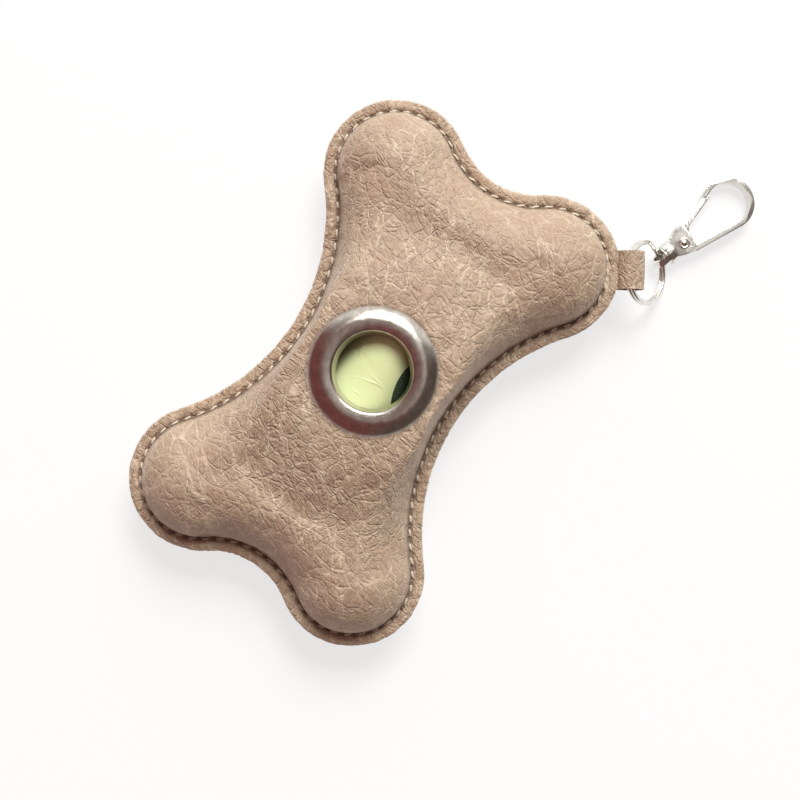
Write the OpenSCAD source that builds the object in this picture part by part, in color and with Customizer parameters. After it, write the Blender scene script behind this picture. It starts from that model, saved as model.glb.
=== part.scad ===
// Bone-shaped leather pouch that holds and dispenses a roll of dog bags.
// X runs along the bone, Y across it, Z up out of the front panel.
// The origin is under the middle of the whole object's box, on the plane that it lies on.
// Shapes are drawn round the bone's middle, and centred() moves them over the origin.

/* [Bone outline] */
// Distance of each lobe's centre from the bone's middle, along the bone
lobe_x = 57; // [54:0.5:60]
// Distance of each lobe's centre from the bone's middle, across the bone
lobe_y = 28; // [26:0.5:30]
// Radius of a lobe's cut edge
lobe_r = 23; // [21:0.5:24]
// Half width of the waist, cut edge to middle
waist_half = 30; // [29:0.5:31]
// Distance from the middle to the bottom of the notch at each end
notch_half = 71; // [69:0.5:73]

/* [Leather] */
// Thickness of the leather
leather = 1.2; // [0.9:0.1:1.4]
// Width of the flat edge outside the stitch line
seam_allowance = 4.3; // [3.5:0.1:5]
// Height of the seam above the resting plane
seam_z = 16; // [15:0.5:18]
// Rise of the front panel's middle above the seam
front_rise = 21; // [19:0.5:23]
// Rise of the front panel's lobes above the seam
lobe_rise = 14.5; // [12:0.5:16]
// Depth of the raised channel that keeps the zip off the table
zip_channel = 2.8; // [2.5:0.1:3.2]

/* [Eyelet] */
// Outer radius of the eyelet
eyelet_r = 20; // [19:0.5:20]
// Radius of the hole that bags are pulled through
eyelet_hole_r = 12.2; // [11.5:0.1:12.4]
// Radius of the eyelet's throat, where it narrows below the dome
eyelet_throat_r = 11.2; // [10.8:0.1:11.4]
// Height of the eyelet's dome above the leather
eyelet_dome = 2; // [1.5:0.1:2.5]

/* [Bag roll] */
// Outer radius of a full roll
roll_r = 13.6; // [12:0.1:13.6]
// Length of the roll
roll_len = 58; // [50:1:60]
// Outer radius of the cardboard core
core_r = 6.5; // [5:0.5:8]

/* [Tab and split ring] */
// Direction in which the tab points, from the lobe's centre
tab_angle = -59; // [-64:1:-54]
// Width of the tab
tab_w = 12; // [10:0.5:12.5]
// Mean radius of the split ring
ring_r = 9.7; // [9.5:0.1:10]
// Angle by which the ring hangs below level
ring_tilt = 47; // [46.5:0.5:48]

/* [Swivel hook] */
// Direction of the hook, seen from above
hook_yaw = -18; // [-20:1:-17]
// Length from the rivet to the middle of the hook's round end
hook_reach = 19.4; // [19:0.1:20]
// Radius of the round end, to the middle of its band
hook_loop_r = 7.75; // [7.5:0.05:8]
// Width of the hook's band, seen from above
band_w = 1.5; // [1.3:0.1:1.6]
// Depth of the hook from its face to its back
hook_depth = 4.6; // [4.4:0.1:4.8]

/* [Zip] */
// Distance between two teeth of one row
tooth_pitch = 2.4; // [2.3:0.1:2.6]
// Distance of the last tooth from the middle
zip_reach = 50; // [46:1:52]
// Distance of the panel's folded edge from the zip's centre line
zip_gap = 4.8; // [4.6:0.1:5.2]

/* [Hidden] */

// Bone outline: lobe, waist and notch arcs that meet smoothly
waist_slack = lobe_r - (waist_half - lobe_y);
waist_r = (lobe_x * lobe_x + pow(waist_half - lobe_y, 2) - lobe_r * lobe_r)
    / (2 * waist_slack);
notch_slack = lobe_r - (notch_half - lobe_x);
notch_r = (lobe_y * lobe_y + pow(notch_half - lobe_x, 2) - lobe_r * lobe_r)
    / (2 * notch_slack);
lobe_c = [lobe_x, lobe_y];
waist_c = [0, waist_half + waist_r];
notch_c = [notch_half + notch_r, 0];
notch_dir = atan2(-lobe_y, notch_c.x - lobe_x);
waist_dir = atan2(waist_c.y - lobe_y, -lobe_x);
NOTCH_STEPS = 4;
LOBE_STEPS = 13;
WAIST_STEPS = 9;
QUARTER = NOTCH_STEPS + LOBE_STEPS + WAIST_STEPS;

// Shape of the puffed panels
WALL_RINGS = 12;
RING_POWER = 1.8;
CROWN_FLAT_R = 20.5;
CROWN_RING_R = 20.4;
CROWN_FADE = 30;
WALL_RUN_WAIST = 4;
WALL_RUN_LOBE = 17;
WALL_FADE = 42;
WALL_START = 6;
back_depth = seam_z - leather;
BACK_RUN_WAIST = 6;
BACK_RUN_LOBE = 15.5;
CHANNEL_FLAT = 9;
CHANNEL_FADE = 7;
eyelet_cut_r = eyelet_hole_r + 1.2;

// Tab, which spreads the two flanges where it is sewn in
tab_leather = 1.1;
TAB_SPREAD_FLAT = 11.5;
TAB_SPREAD_FADE = 7;
TAB_SPREAD_START = -12;
TAB_SPREAD_RAMP = 5;
TAB_SPREAD_END = -14;
TAB_EASE = 0.1;
tab_loop_u = 3.6;
tab_loop_r = 2.35;
tab_inner_end = -5.3;
tab_dir = [cos(tab_angle), sin(tab_angle), 0];
tab_side = [-sin(tab_angle), cos(tab_angle), 0];
tab_root = [lobe_x, -lobe_y, seam_z] + lobe_r * tab_dir;

// Split ring: two coils side by side, which hang through the tab's loop
wire_wide = 1.6;
wire_high = 1.1;
coil_step = 1.15;
RING_SAG = 1.04;
ring_drop = ring_r - RING_SAG;
ring_down = cos(ring_tilt) * tab_dir - [0, 0, sin(ring_tilt)];
ring_axis = cross(ring_down, tab_side);
ring_c = tab_root + tab_loop_u * tab_dir + ring_drop * ring_down;
RING_START = 18;
RING_SWEEP = 684;
RING_STEPS = 68;
RING_JOG = 75;

// Hook frame: p along the hook, q to its left, origin at the rivet
eye_on_ring = 30;
collar_r = 3.8;
neck_r = 2.7;
collar_q = 0.6;
eye_p = -8.7;
collar_near = -3.4;
collar_far = -6.5;
collar_wide = 2.1;
collar_waist = collar_far + collar_wide;
hook_pitch = atan((collar_r - hook_depth / 2)
    / (hook_reach + hook_loop_r + band_w / 2 - collar_waist));
hook_p = [cos(hook_yaw), sin(hook_yaw), 0];
hook_q = [-sin(hook_yaw), cos(hook_yaw), 0];
eye_point = ring_c + ring_r * (cos(eye_on_ring) * ring_down + sin(eye_on_ring) * tab_side);
rivet_xy = eye_point - eye_p * hook_p - collar_q * hook_q;
rivet_z = collar_r * cos(hook_pitch) + collar_waist * sin(hook_pitch);
hook_z = cross(cos(hook_pitch) * hook_p - [0, 0, sin(hook_pitch)], hook_q);
ring_way = cos(eye_on_ring) * tab_side - sin(eye_on_ring) * ring_down;
eye_roll = atan2(ring_way * hook_z, ring_way * hook_q);
plate_t = 1;
rivet_r = 0.9;
gate_play = 0.04;
eye_hole_r = 2;
loop_c = [hook_reach, 0.8];
LEG_ANGLE = -100.5;
NOSE_ANGLE = 110;
nose_len = 2.0;
leg_start_p = 1.5;
gate_root = [4.5, 4.6];
nose_end = loop_c + hook_loop_r * [cos(NOSE_ANGLE), sin(NOSE_ANGLE)]
    - nose_len * [sin(NOSE_ANGLE), -cos(NOSE_ANGLE)];
gate_tip = nose_end - [0.45, 0.12];

// Zip
tape_t = 0.5;
tape_out = 13;
tape_in = 2.2;
teeth_z = seam_z - back_depth + zip_channel + 0.7;
tooth_h = 2;
slider_x = 44;
slider_len = 8.4;
slider_half_w = 3.7;
slider_gap = 2.5;
slider_plate = 0.9;

// Stitches
stitch_pitch = 4.4;
stitch_len = 2.7;
thread_t = 0.6;

function smooth(t) = let (c = min(1, max(0, t))) c * c * (3 - 2 * c);

// Quarter outline, inset by t, from the notch (y = 0) to the waist (x = 0)
function quarter_point(i, t) =
    i < NOTCH_STEPS
    ? let (a = 180 - (180 - (180 + notch_dir)) * i / NOTCH_STEPS)
        notch_c + (notch_r + t) * [cos(a), sin(a)]
    : i < NOTCH_STEPS + LOBE_STEPS
    ? let (a = notch_dir + (waist_dir - notch_dir) * (i - NOTCH_STEPS) / LOBE_STEPS)
        lobe_c + (lobe_r - t) * [cos(a), sin(a)]
    : let (a0 = waist_dir + 180, a = a0 + (270 - a0) * (i - NOTCH_STEPS - LOBE_STEPS) / WAIST_STEPS)
        waist_c + (waist_r + t) * [cos(a), sin(a)];

// Whole outline, counter-clockwise, 4 * QUARTER points
function bone_point(i, t) =
    let (k = i % (4 * QUARTER), s = floor(k / QUARTER), j = k % QUARTER)
    s == 0 ? quarter_point(j, t)
    : s == 1 ? let (p = quarter_point(QUARTER - j, t)) [-p.x, p.y]
    : s == 2 ? -quarter_point(j, t)
    : let (p = quarter_point(QUARTER - j, t)) [p.x, -p.y];

function cross_z(a, b) = a.x * b.y - a.y * b.x;

// Distance inwards from the outline that is inset by t
function edge_distance(x, y, t) =
    let (p = [abs(x), abs(y)], q = p - lobe_c,
         in_lobe = cross_z(notch_c - lobe_c, q) > 0 && cross_z(q, waist_c - lobe_c) > 0)
    in_lobe
    ? lobe_r - t - norm(q)
    : min(norm(p - waist_c) - waist_r, norm(p - notch_c) - notch_r) - t;

// Pillow profile: 0 at the seam, 1 from one run inwards
function pillow(d, run) = let (c = min(1, max(0, d / run))) sqrt(1 - pow(1 - c, 2));

function front_height(x, y, t) =
    (lobe_rise + (front_rise - lobe_rise) * (1 - smooth((norm([x, y]) - CROWN_FLAT_R) / CROWN_FADE)))
    * pillow(edge_distance(x, y, t),
        WALL_RUN_WAIST + (WALL_RUN_LOBE - WALL_RUN_WAIST) * smooth((abs(x) - WALL_START) / WALL_FADE));

function back_pillow(x, y, t) =
    pillow(edge_distance(x, y, t),
        BACK_RUN_WAIST + (BACK_RUN_LOBE - BACK_RUN_WAIST) * smooth(abs(x) / WALL_FADE));

function back_height(x, y, t) =
    (back_depth - zip_channel * (1 - smooth((abs(y) - CHANNEL_FLAT) / CHANNEL_FADE)))
    * back_pillow(x, y, t);

// Half the spread of the flanges where the tab is sewn between them
function tab_spread(x, y) =
    let (p = [x, y, seam_z] - tab_root, side = abs(p * tab_side), along = p * tab_dir)
    along > TAB_SPREAD_END
    ? (tab_leather + TAB_EASE) * (1 - smooth((side - TAB_SPREAD_FLAT) / TAB_SPREAD_FADE))
        * smooth((along - TAB_SPREAD_START) / TAB_SPREAD_RAMP)
    : 0;

// Middle of the whole object's box: from the lobes to the outside of the hook's round end
hook_p_flat = cos(hook_pitch) * [hook_p.x, hook_p.y];
hook_z_flat = sin(hook_pitch) * [hook_p.x, hook_p.y];
loop_flat = [rivet_xy.x, rivet_xy.y] + loop_c.x * hook_p_flat + loop_c.y * [hook_q.x, hook_q.y];
loop_out = [for (k = [0, 1]) (hook_loop_r + band_w / 2) * norm([hook_p_flat[k], hook_q[k]])
    + hook_depth / 2 * abs(hook_z_flat[k])];
lobe_out = [for (k = [0, 1]) max([for (i = [0 : QUARTER]) quarter_point(i, 0)[k]])];
middle = [(loop_flat.x + loop_out.x - lobe_out.x) / 2, (loop_flat.y - loop_out.y + lobe_out.y) / 2];
module centred() { translate([-middle.x, -middle.y, 0]) children(); }

function ring_share(k) = pow(k / WALL_RINGS, RING_POWER);
function mix(a, b, f) = a + (b - a) * f;

// Closed skin from equal rings of points: each ring joins the next, the last joins the first
module ring_solid(rings, sides) {
    n = len(rings) / sides;
    polyhedron(
        points = rings,
        faces = [for (r = [0 : n - 1], i = [0 : sides - 1])
            let (a = r * sides + i, b = r * sides + (i + 1) % sides,
                 c = ((r + 1) % n) * sides + (i + 1) % sides, d = ((r + 1) % n) * sides + i)
            for (f = [[a, d, b], [b, d, c]]) f],
        convexity = 6);
}

// Closed skin from rings of points that don't close on themselves, with both side strips capped
module strip_solid(rings, sides) {
    n = len(rings) / sides;
    polyhedron(
        points = rings,
        faces = concat(
            [for (r = [0 : n - 1], i = [0 : sides - 2])
                let (a = r * sides + i, b = a + 1,
                     d = ((r + 1) % n) * sides + i, c = d + 1)
                for (f = [[a, d, b], [b, d, c]]) f],
            strip_caps(n, sides)),
        convexity = 6);
}

// The first and last points of all rings make two end loops, each zipped shut pair by pair
function strip_caps(n, sides) =
    [for (e = [0, 1], k = [0 : n / 2 - 2])
        let (i = e * (sides - 1), a = k * sides + i, b = (k + 1) * sides + i,
             c = (n - 2 - k) * sides + i, d = (n - 1 - k) * sides + i)
        for (f = e == 0 ? [[a, d, b], [b, d, c]] : [[a, b, d], [b, c, d]]) f];

// Puffed front panel with its flat edge and the hole for the eyelet. The last ring is the
// cut edge of the hole, and the one before it is the edge of the flat middle.
function front_point(i, k, t, lift) =
    let (a = 360 * i / (4 * QUARTER),
         r = k > WALL_RINGS ? eyelet_cut_r : CROWN_RING_R,
         p = mix(bone_point(i, t), r * [cos(a), sin(a)], ring_share(min(k, WALL_RINGS))))
    [p.x, p.y, seam_z + tab_spread(p.x, p.y) + lift + front_height(p.x, p.y, t)];

function front_flange(i, t, lift) =
    let (p = bone_point(i, t)) [p.x, p.y, seam_z + tab_spread(p.x, p.y) + lift];

module front_panel() {
    n = 4 * QUARTER;
    centred() color("rosybrown") ring_solid(concat(
        [for (i = [0 : n - 1]) front_flange(i, 0, leather)],
        [for (k = [0 : WALL_RINGS + 1], i = [0 : n - 1]) front_point(i, k, seam_allowance, leather)],
        [for (k = [WALL_RINGS + 1 : -1 : 0], i = [0 : n - 1])
            front_point(i, k, seam_allowance + leather, 0)],
        [for (i = [0 : n - 1]) front_flange(i, 0, 0)]), n);
}

// One half of the back: from the bone's edge to the folded edge beside the zip
HALF_STEPS = 2 * QUARTER - 2;
FOLD_END = notch_half - 6;
FOLD_END_FLAT = 0.2;
FOLD_END_STEPS = 5;
function back_edge_point(j, t) = bone_point(j + 1, t);
function back_point(j, k, t, side, lift) =
    let (e = back_edge_point(j, t), ends = min(j, HALF_STEPS - j),
         flat = k > WALL_RINGS ? 0
             : mix(FOLD_END_FLAT, CHANNEL_FLAT - zip_gap, smooth(ends / FOLD_END_STEPS)),
         q = [FOLD_END * (1 - 2 * j / HALF_STEPS), zip_gap + flat],
         p = mix(e, q, ring_share(min(k, WALL_RINGS))))
    [p.x, side * p.y,
        seam_z - tab_spread(p.x, side * p.y) - lift - back_height(p.x, p.y, t)];

function back_flange(j, t, side, lift) =
    let (p = back_edge_point(j, t))
    [p.x, side * p.y, seam_z - tab_spread(p.x, side * p.y) - lift];

module back_half(side) {
    n = HALF_STEPS + 1;
    rings = concat(
        [for (j = [0 : HALF_STEPS]) back_flange(j, 0, side, 0)],
        [for (k = [0 : WALL_RINGS + 1], j = [0 : HALF_STEPS])
            back_point(j, k, seam_allowance + leather, side, 0)],
        [for (k = [WALL_RINGS + 1 : -1 : 0], j = [0 : HALF_STEPS])
            back_point(j, k, seam_allowance, side, leather)],
        [for (j = [0 : HALF_STEPS]) back_flange(j, 0, side, leather)]);
    if (side > 0) strip_solid(rings, n);
    else strip_solid([for (r = [0 : len(rings) / n - 1], j = [n - 1 : -1 : 0]) rings[r * n + j]], n);
}

module back_panel_left() { centred() color("rosybrown") back_half(1); }
module back_panel_right() { centred() color("rosybrown") back_half(-1); }

// Stitches round the seam, one row on each face of the flange
STITCH_LINE = seam_allowance - 0.5;
function arc_steps(r, sweep) = max(1, round(r * abs(sweep) * PI / 180 / stitch_pitch));

module stitch_row(centre, r, a0, sweep, mx, my, face) {
    n = arc_steps(r, sweep);
    for (i = [0 : n - 1]) {
        a = a0 + sweep * (i + 0.5) / n;
        p = centre + r * [cos(a), sin(a)];
        rise = face * (tab_spread(mx * p.x, my * p.y) + leather + thread_t / 2);
        scale([mx, my, 1]) translate([p.x, p.y, seam_z + rise]) rotate([0, 0, a])
            cube([thread_t, stitch_len, thread_t], center = true);
    }
}

module seam_thread() {
    centred() color("antiquewhite") for (mx = [-1, 1], my = [-1, 1], face = [-1, 1]) {
        stitch_row(notch_c, notch_r + STITCH_LINE, 180, notch_dir, mx, my, face);
        stitch_row(lobe_c, lobe_r - STITCH_LINE, notch_dir, waist_dir - notch_dir, mx, my, face);
        stitch_row(waist_c, waist_r + STITCH_LINE, waist_dir + 180, 90 - waist_dir, mx, my, face);
    }
}

// Pressed eyelet: domed ring, barrel and rolled lip in one piece of sheet
leather_top = seam_z + front_rise + leather;
leather_under = seam_z + front_rise;
sheet = 0.5;
dome_half_w = (eyelet_r - eyelet_hole_r) / 2;
dome_r = (dome_half_w * dome_half_w + eyelet_dome * eyelet_dome) / (2 * eyelet_dome);
washer_t = 0.6;
washer_drop = 1.55;
barrel_foot = leather_under - washer_drop - sheet;
FOOT_WIDE = 3;
THROAT_TOP = leather_top + 0.6;
// Width of the slanting throat's sheet where it is cut level, above and below
throat_cut_top = 1.05 * sheet;
throat_cut_foot = 1.15 * sheet;

module eyelet_front() {
    centred() color("silver") rotate_extrude($fn = 96) {
        difference() {
            intersection() {
                translate([eyelet_hole_r + dome_half_w, leather_top + eyelet_dome - dome_r])
                    circle(r = dome_r, $fn = 96);
                translate([eyelet_hole_r, leather_top]) square([2 * dome_half_w, eyelet_dome + 1]);
            }
            translate([eyelet_hole_r + dome_half_w, leather_top + eyelet_dome - dome_r])
                circle(r = dome_r - sheet, $fn = 96);
        }
        polygon([
            [eyelet_hole_r, THROAT_TOP],
            [eyelet_throat_r, barrel_foot],
            [eyelet_hole_r + FOOT_WIDE, barrel_foot],
            [eyelet_hole_r + FOOT_WIDE, barrel_foot + sheet],
            [eyelet_throat_r + throat_cut_foot, barrel_foot + sheet],
            [eyelet_hole_r + throat_cut_top, THROAT_TOP]]);
    }
}

// Locking ring behind the leather, dished towards the panel
WASHER_FLAT = 2.4;
washer_inner = eyelet_hole_r + sheet + 0.1;
washer_outer = eyelet_r - 0.7;
module eyelet_back() {
    foot = leather_under - washer_drop;
    centred() color("darkgray") rotate_extrude($fn = 96)
        polygon([
            [washer_inner, foot],
            [washer_inner + WASHER_FLAT, foot],
            [washer_outer, leather_under - washer_t],
            [washer_outer, leather_under],
            [washer_outer - 0.5, leather_under],
            [washer_inner + WASHER_FLAT - 0.2, foot + washer_t],
            [washer_inner, foot + washer_t]]);
}

// Roll of bags on its cardboard core, lying along the bone under the eyelet
ROLL_EASE = 0.4;
CORE_WALL = 0.8;
roll_z = barrel_foot - ROLL_EASE - roll_r;
module along_roll() { translate([0, 0, roll_z]) rotate([0, 90, 0]) children(); }

module bag_roll() {
    centred() color("palegoldenrod") along_roll() difference() {
        cylinder(r = roll_r, h = roll_len, center = true, $fn = 96);
        cylinder(r = core_r, h = roll_len + 2, center = true, $fn = 64);
    }
}

module roll_core() {
    centred() color("burlywood") along_roll() difference() {
        cylinder(r = core_r, h = roll_len - 1, center = true, $fn = 64);
        cylinder(r = core_r - CORE_WALL, h = roll_len + 2, center = true, $fn = 64);
    }
}

// Teardrop round the loop's centre that narrows towards start, as one outline
TAB_STEPS = 20;
TAB_OUTER_START = 0.15;
TAB_INNER_START = 0.8;
module tab_outline(loop_r, half, start, root) {
    reach = tab_loop_u - start;
    lean = acos(loop_r / norm([reach, half])) + atan2(half, reach);
    polygon(concat(
        root,
        [[start, -half]],
        [for (i = [0 : TAB_STEPS])
            let (a = lean - 180 + (360 - 2 * lean) * i / TAB_STEPS)
            [tab_loop_u, 0] + loop_r * [cos(a), sin(a)]],
        half > 0 ? [[start, half]] : []));
}

// Leather strip folded round the split ring and sewn between the flanges
module tab_strap() {
    centred() color("rosybrown") translate(tab_root) rotate([0, 0, tab_angle]) rotate([90, 0, 0])
        linear_extrude(tab_w, center = true) difference() {
            tab_outline(tab_loop_r + tab_leather, tab_leather, TAB_OUTER_START,
                [[tab_inner_end, tab_leather], [tab_inner_end, -tab_leather]]);
            tab_outline(tab_loop_r, 0, TAB_INNER_START, []);
        }
}

// Split ring: a two-turn coil with a short step between its turns, its section a flattened octagon
RING_STEP_ANGLE = 36;
function ring_level(f) =
    coil_step * (smooth((f - 0.5) * RING_SWEEP / RING_STEP_ANGLE + 0.5) - 0.5);
function ring_station(i) =
    let (f = i / RING_STEPS, a = RING_JOG + RING_START + f * RING_SWEEP,
         out = cos(a) * ring_down + sin(a) * tab_side,
         mid = ring_c + ring_r * out + ring_level(f) * ring_axis,
         w = wire_wide / 2, h = wire_high / 2, bw = w * 0.55, bh = h * 0.45)
    [for (c = [[w, -bh], [w, bh], [bw, h], [-bw, h], [-w, bh], [-w, -bh], [-bw, -h], [bw, -h]])
        mid + c.x * out + c.y * ring_axis];

module split_ring() {
    centred() color("silver") polyhedron(
        points = [for (i = [0 : RING_STEPS]) for (p = ring_station(i)) p],
        faces = concat(
            [[for (i = [7 : -1 : 0]) i]],
            [[for (i = [0 : 7]) RING_STEPS * 8 + i]],
            [for (r = [0 : RING_STEPS - 1], i = [0 : 7])
                let (a = r * 8 + i, b = r * 8 + (i + 1) % 8, c = b + 8, d = a + 8)
                for (f = [[a, b, d], [b, c, d]]) f]),
        convexity = 4);
}

// Everything on the hook is drawn with p along X, q along Y and the rivet at the origin
module at_hook() {
    translate([rivet_xy.x, rivet_xy.y, rivet_z]) rotate([0, 0, hook_yaw]) rotate([0, hook_pitch, 0])
        children();
}

module at_swivel() { translate([0, collar_q, 0]) rotate([0, 90, 0]) children(); }

// Eye that turns in the hook's collar and swings on the split ring
cap_far = collar_far - 0.75;
cap_r = 3.2;
cap_t = 0.7;
post_r = 1.05;
post_len = 3;
post_play = 0.05;
post_head_r = 1.75;
post_head_t = 0.9;
eye_t = 2.2;
eye_side = 10;
module at_eye() { translate([eye_p, collar_q, 0]) rotate([eye_roll - 90, 0, 0]) children(); }

module swivel_eye() {
    centred() color("silver") at_hook() {
        difference() {
            union() {
                at_swivel() translate([0, 0, cap_far]) cylinder(r = cap_r, h = cap_t, $fn = 64);
                at_eye() intersection() {
                    cylinder(r = eye_hole_r + 1, h = eye_t, center = true, $fn = 64);
                    translate([cap_far - eye_p + 0.1 - eye_side, -eye_side / 2, -eye_side / 2])
                        cube(eye_side);
                }
            }
            at_eye() cylinder(r = eye_hole_r, h = eye_side, center = true, $fn = 64);
        }
        at_swivel() translate([0, 0, cap_far + 0.1]) cylinder(r = post_r, h = post_len, $fn = 48);
        at_swivel() translate([0, 0, cap_far + post_len])
            cylinder(r = post_head_r, h = post_head_t, $fn = 48);
    }
}

// Loop of the hook: straight leg, round end and nose, as one band
module hook_band() {
    ri = hook_loop_r - band_w / 2;
    ro = hook_loop_r + band_w / 2;
    leg_end = loop_c + hook_loop_r * [cos(LEG_ANGLE), sin(LEG_ANGLE)];
    leg_dir = LEG_ANGLE + 90;
    translate(loop_c) intersection() {
        difference() {
            circle(r = ro, $fn = 96);
            circle(r = ri, $fn = 96);
        }
        polygon(concat([[0, 0]],
            [for (i = [0 : 6]) let (a = mix(LEG_ANGLE, NOSE_ANGLE, i / 6)) 2 * ro * [cos(a), sin(a)]]));
    }
    translate(leg_end) rotate(leg_dir)
        translate([-(leg_end.x - leg_start_p) / cos(leg_dir), -band_w / 2])
            square([(leg_end.x - leg_start_p) / cos(leg_dir) + 0.01, band_w]);
    translate(nose_end) rotate(NOSE_ANGLE - 90) translate([0, -band_w / 2])
        square([nose_len + 0.01, band_w]);
}

// Side plate round the rivet, from the collar to the gate's root
// Each corner is its place along and across the hook, and its radius
PLATE_CORNERS = [[-3.4, -1.4, 1], [-3.4, 2.6, 1], [-0.4, -1, 2.6], [1.8, -3.1, 0.9], [0.8, 4, 1.2],
    [2.9, 4.4, 1]];
module hook_plate() {
    hull() for (c = PLATE_CORNERS) translate([c[0], c[1]]) circle(r = c[2], $fn = 32);
}

// Webs that join the two plates: a wall towards the collar and a floor under the gate
WEB_P = -4.4;
WEB_WALL = 1.2;
FLOOR_Q = -4.6;
FLOOR_T = 2;
module hook_body() {
    half = hook_depth / 2;
    centred() color("silver") at_hook() difference() {
        union() {
            translate([0, 0, -half]) linear_extrude(hook_depth) hook_band();
            for (z = [-half, half - plate_t]) translate([0, 0, z]) linear_extrude(plate_t) hook_plate();
            intersection() {
                translate([0, 0, -half]) linear_extrude(hook_depth) hook_plate();
                union() {
                    translate([WEB_P, FLOOR_Q, -half]) cube([WEB_WALL, 9, hook_depth]);
                    translate([WEB_P, FLOOR_Q, -half]) cube([8, FLOOR_T, hook_depth]);
                }
            }
            at_swivel() translate([0, 0, collar_far])
                cylinder(r = collar_r, h = collar_wide, $fn = 64);
            at_swivel() translate([0, 0, collar_waist])
                cylinder(r1 = collar_r, r2 = neck_r, h = collar_near - collar_waist, $fn = 64);
        }
        cylinder(r = rivet_r, h = hook_depth + 2, center = true, $fn = 48);
        at_swivel() translate([0, 0, collar_far - 1])
            cylinder(r = post_r + post_play, h = post_len, $fn = 48);
        at_swivel() translate([0, 0, collar_far + 1.9])
            cylinder(r = post_head_r + 0.1, h = 2.3, $fn = 48);
    }
}

// Gate: folded channel that turns on the rivet and closes behind the nose
gate_h = 2.3;
gate_wall = 0.45;
gate_eye_r = 1.9;
gate_w = 1.5;
GATE_HEEL = 0.6;
gate_dir = atan2(gate_tip.y - gate_root.y, gate_tip.x - gate_root.x);
gate_len = norm(gate_tip - gate_root);
module gate_bar(w) {
    translate(gate_root) rotate(gate_dir) translate([-GATE_HEEL, -w])
        square([gate_len + GATE_HEEL, w]);
}

// Cheek of the gate: an eye round the rivet, and an arm that runs up into the bar
module gate_outline() {
    circle(r = gate_eye_r, $fn = 48);
    polygon([[-0.9, 1.67], [0.55, 1.82], gate_root + [-0.5, 0.25], gate_root + [0.6, -1.15],
        [1.55, -1.1]]);
    gate_bar(gate_w);
}

// The tongue at the gate's tip rests against the inside of the nose
TONGUE = [2.6, 0.5];
module hook_gate() {
    centred() color("gainsboro") at_hook() difference() {
        union() {
            for (z = [-gate_h / 2, gate_h / 2 - gate_wall])
                translate([0, 0, z]) linear_extrude(gate_wall) gate_outline();
            translate([0, 0, -gate_h / 2]) linear_extrude(gate_h) gate_bar(gate_wall);
            translate([0, 0, -gate_h / 2]) linear_extrude(gate_h)
                translate(gate_tip) rotate(gate_dir) translate([-1, -gate_w]) square(TONGUE);
        }
        cylinder(r = rivet_r + gate_play, h = hook_depth, center = true, $fn = 48);
    }
}

// Torsion spring coiled round the rivet between the gate's cheeks
SPRING_TURNS = 3;
SPRING_STEPS = 42;
spring_r = 1.28;
spring_wire = 0.16;
spring_start = 100;
spring_rise = 2.2 * spring_wire * SPRING_TURNS;
function spring_station(i) =
    let (a = spring_start + i * 360 * SPRING_TURNS / SPRING_STEPS,
         out = [cos(a), sin(a), 0],
         mid = spring_r * out + [0, 0, (i / SPRING_STEPS - 0.5) * spring_rise])
    [for (s = [0 : 5]) mid + spring_wire * (cos(60 * s) * out + [0, 0, sin(60 * s)])];

module gate_spring() {
    centred() color("dimgray") at_hook() polyhedron(
        points = [for (i = [0 : SPRING_STEPS]) for (p = spring_station(i)) p],
        faces = concat(
            [[for (i = [5 : -1 : 0]) i]],
            [[for (i = [0 : 5]) SPRING_STEPS * 6 + i]],
            [for (r = [0 : SPRING_STEPS - 1], i = [0 : 5])
                let (a = r * 6 + i, b = r * 6 + (i + 1) % 6, c = b + 6, d = a + 6)
                for (f = [[a, b, d], [b, c, d]]) f]),
        convexity = 4);
}

// Rivet with a dimpled head above and a flush head below
head_r = 1.9;
head_t = 0.5;
dimple_r = 1.15;
module gate_rivet() {
    half = hook_depth / 2;
    centred() color("silver") at_hook() {
        difference() {
            union() {
                translate([0, 0, -half]) cylinder(r = rivet_r, h = hook_depth + 0.2, $fn = 48);
                translate([0, 0, half]) cylinder(r = head_r, h = head_t, $fn = 64);
            }
            translate([0, 0, half + 0.15]) cylinder(r = dimple_r, h = 1, $fn = 48);
        }
        translate([0, 0, half]) cylinder(r1 = 0.9, r2 = 0.5, h = 0.4, $fn = 48);
    }
}

// Zip tape: follows the inside of the back, then runs out between the flanges
TAPE_STEPS = 30;
TAPE_GAP = 0.6;
tape_end = notch_half - 0.5;
tape_rise = back_depth - zip_channel - 0.9;
// Beyond the stops the two tapes meet, and then narrow to pass through the notch's seam
TAPE_MEET = 0.05;
TAPE_MEET_FROM = zip_reach + 3;
TAPE_MEET_RUN = 5;
TAPE_NARROW_FROM = 54;
TAPE_NARROW_RUN = 10;
tape_narrow = zip_gap - 1.3;
function tape_x(i) = tape_end * sin(180 * i / TAPE_STEPS - 90);
function tape_inner(x) = mix(tape_in, TAPE_MEET, smooth((abs(x) - TAPE_MEET_FROM) / TAPE_MEET_RUN));
function tape_outer(x) = mix(tape_out, tape_narrow, smooth((abs(x) - TAPE_NARROW_FROM) / TAPE_NARROW_RUN));
function tape_z(x, y, t) =
    seam_z - tape_rise * pillow(edge_distance(x, y, seam_allowance + t), BACK_RUN_LOBE);
function tape_row(x, side, t, lift) =
    [for (j = [0 : 3]) let (y = mix(tape_inner(x), tape_outer(x), j / 3))
        [x, side * y, tape_z(x, y, t) + lift]];

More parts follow.
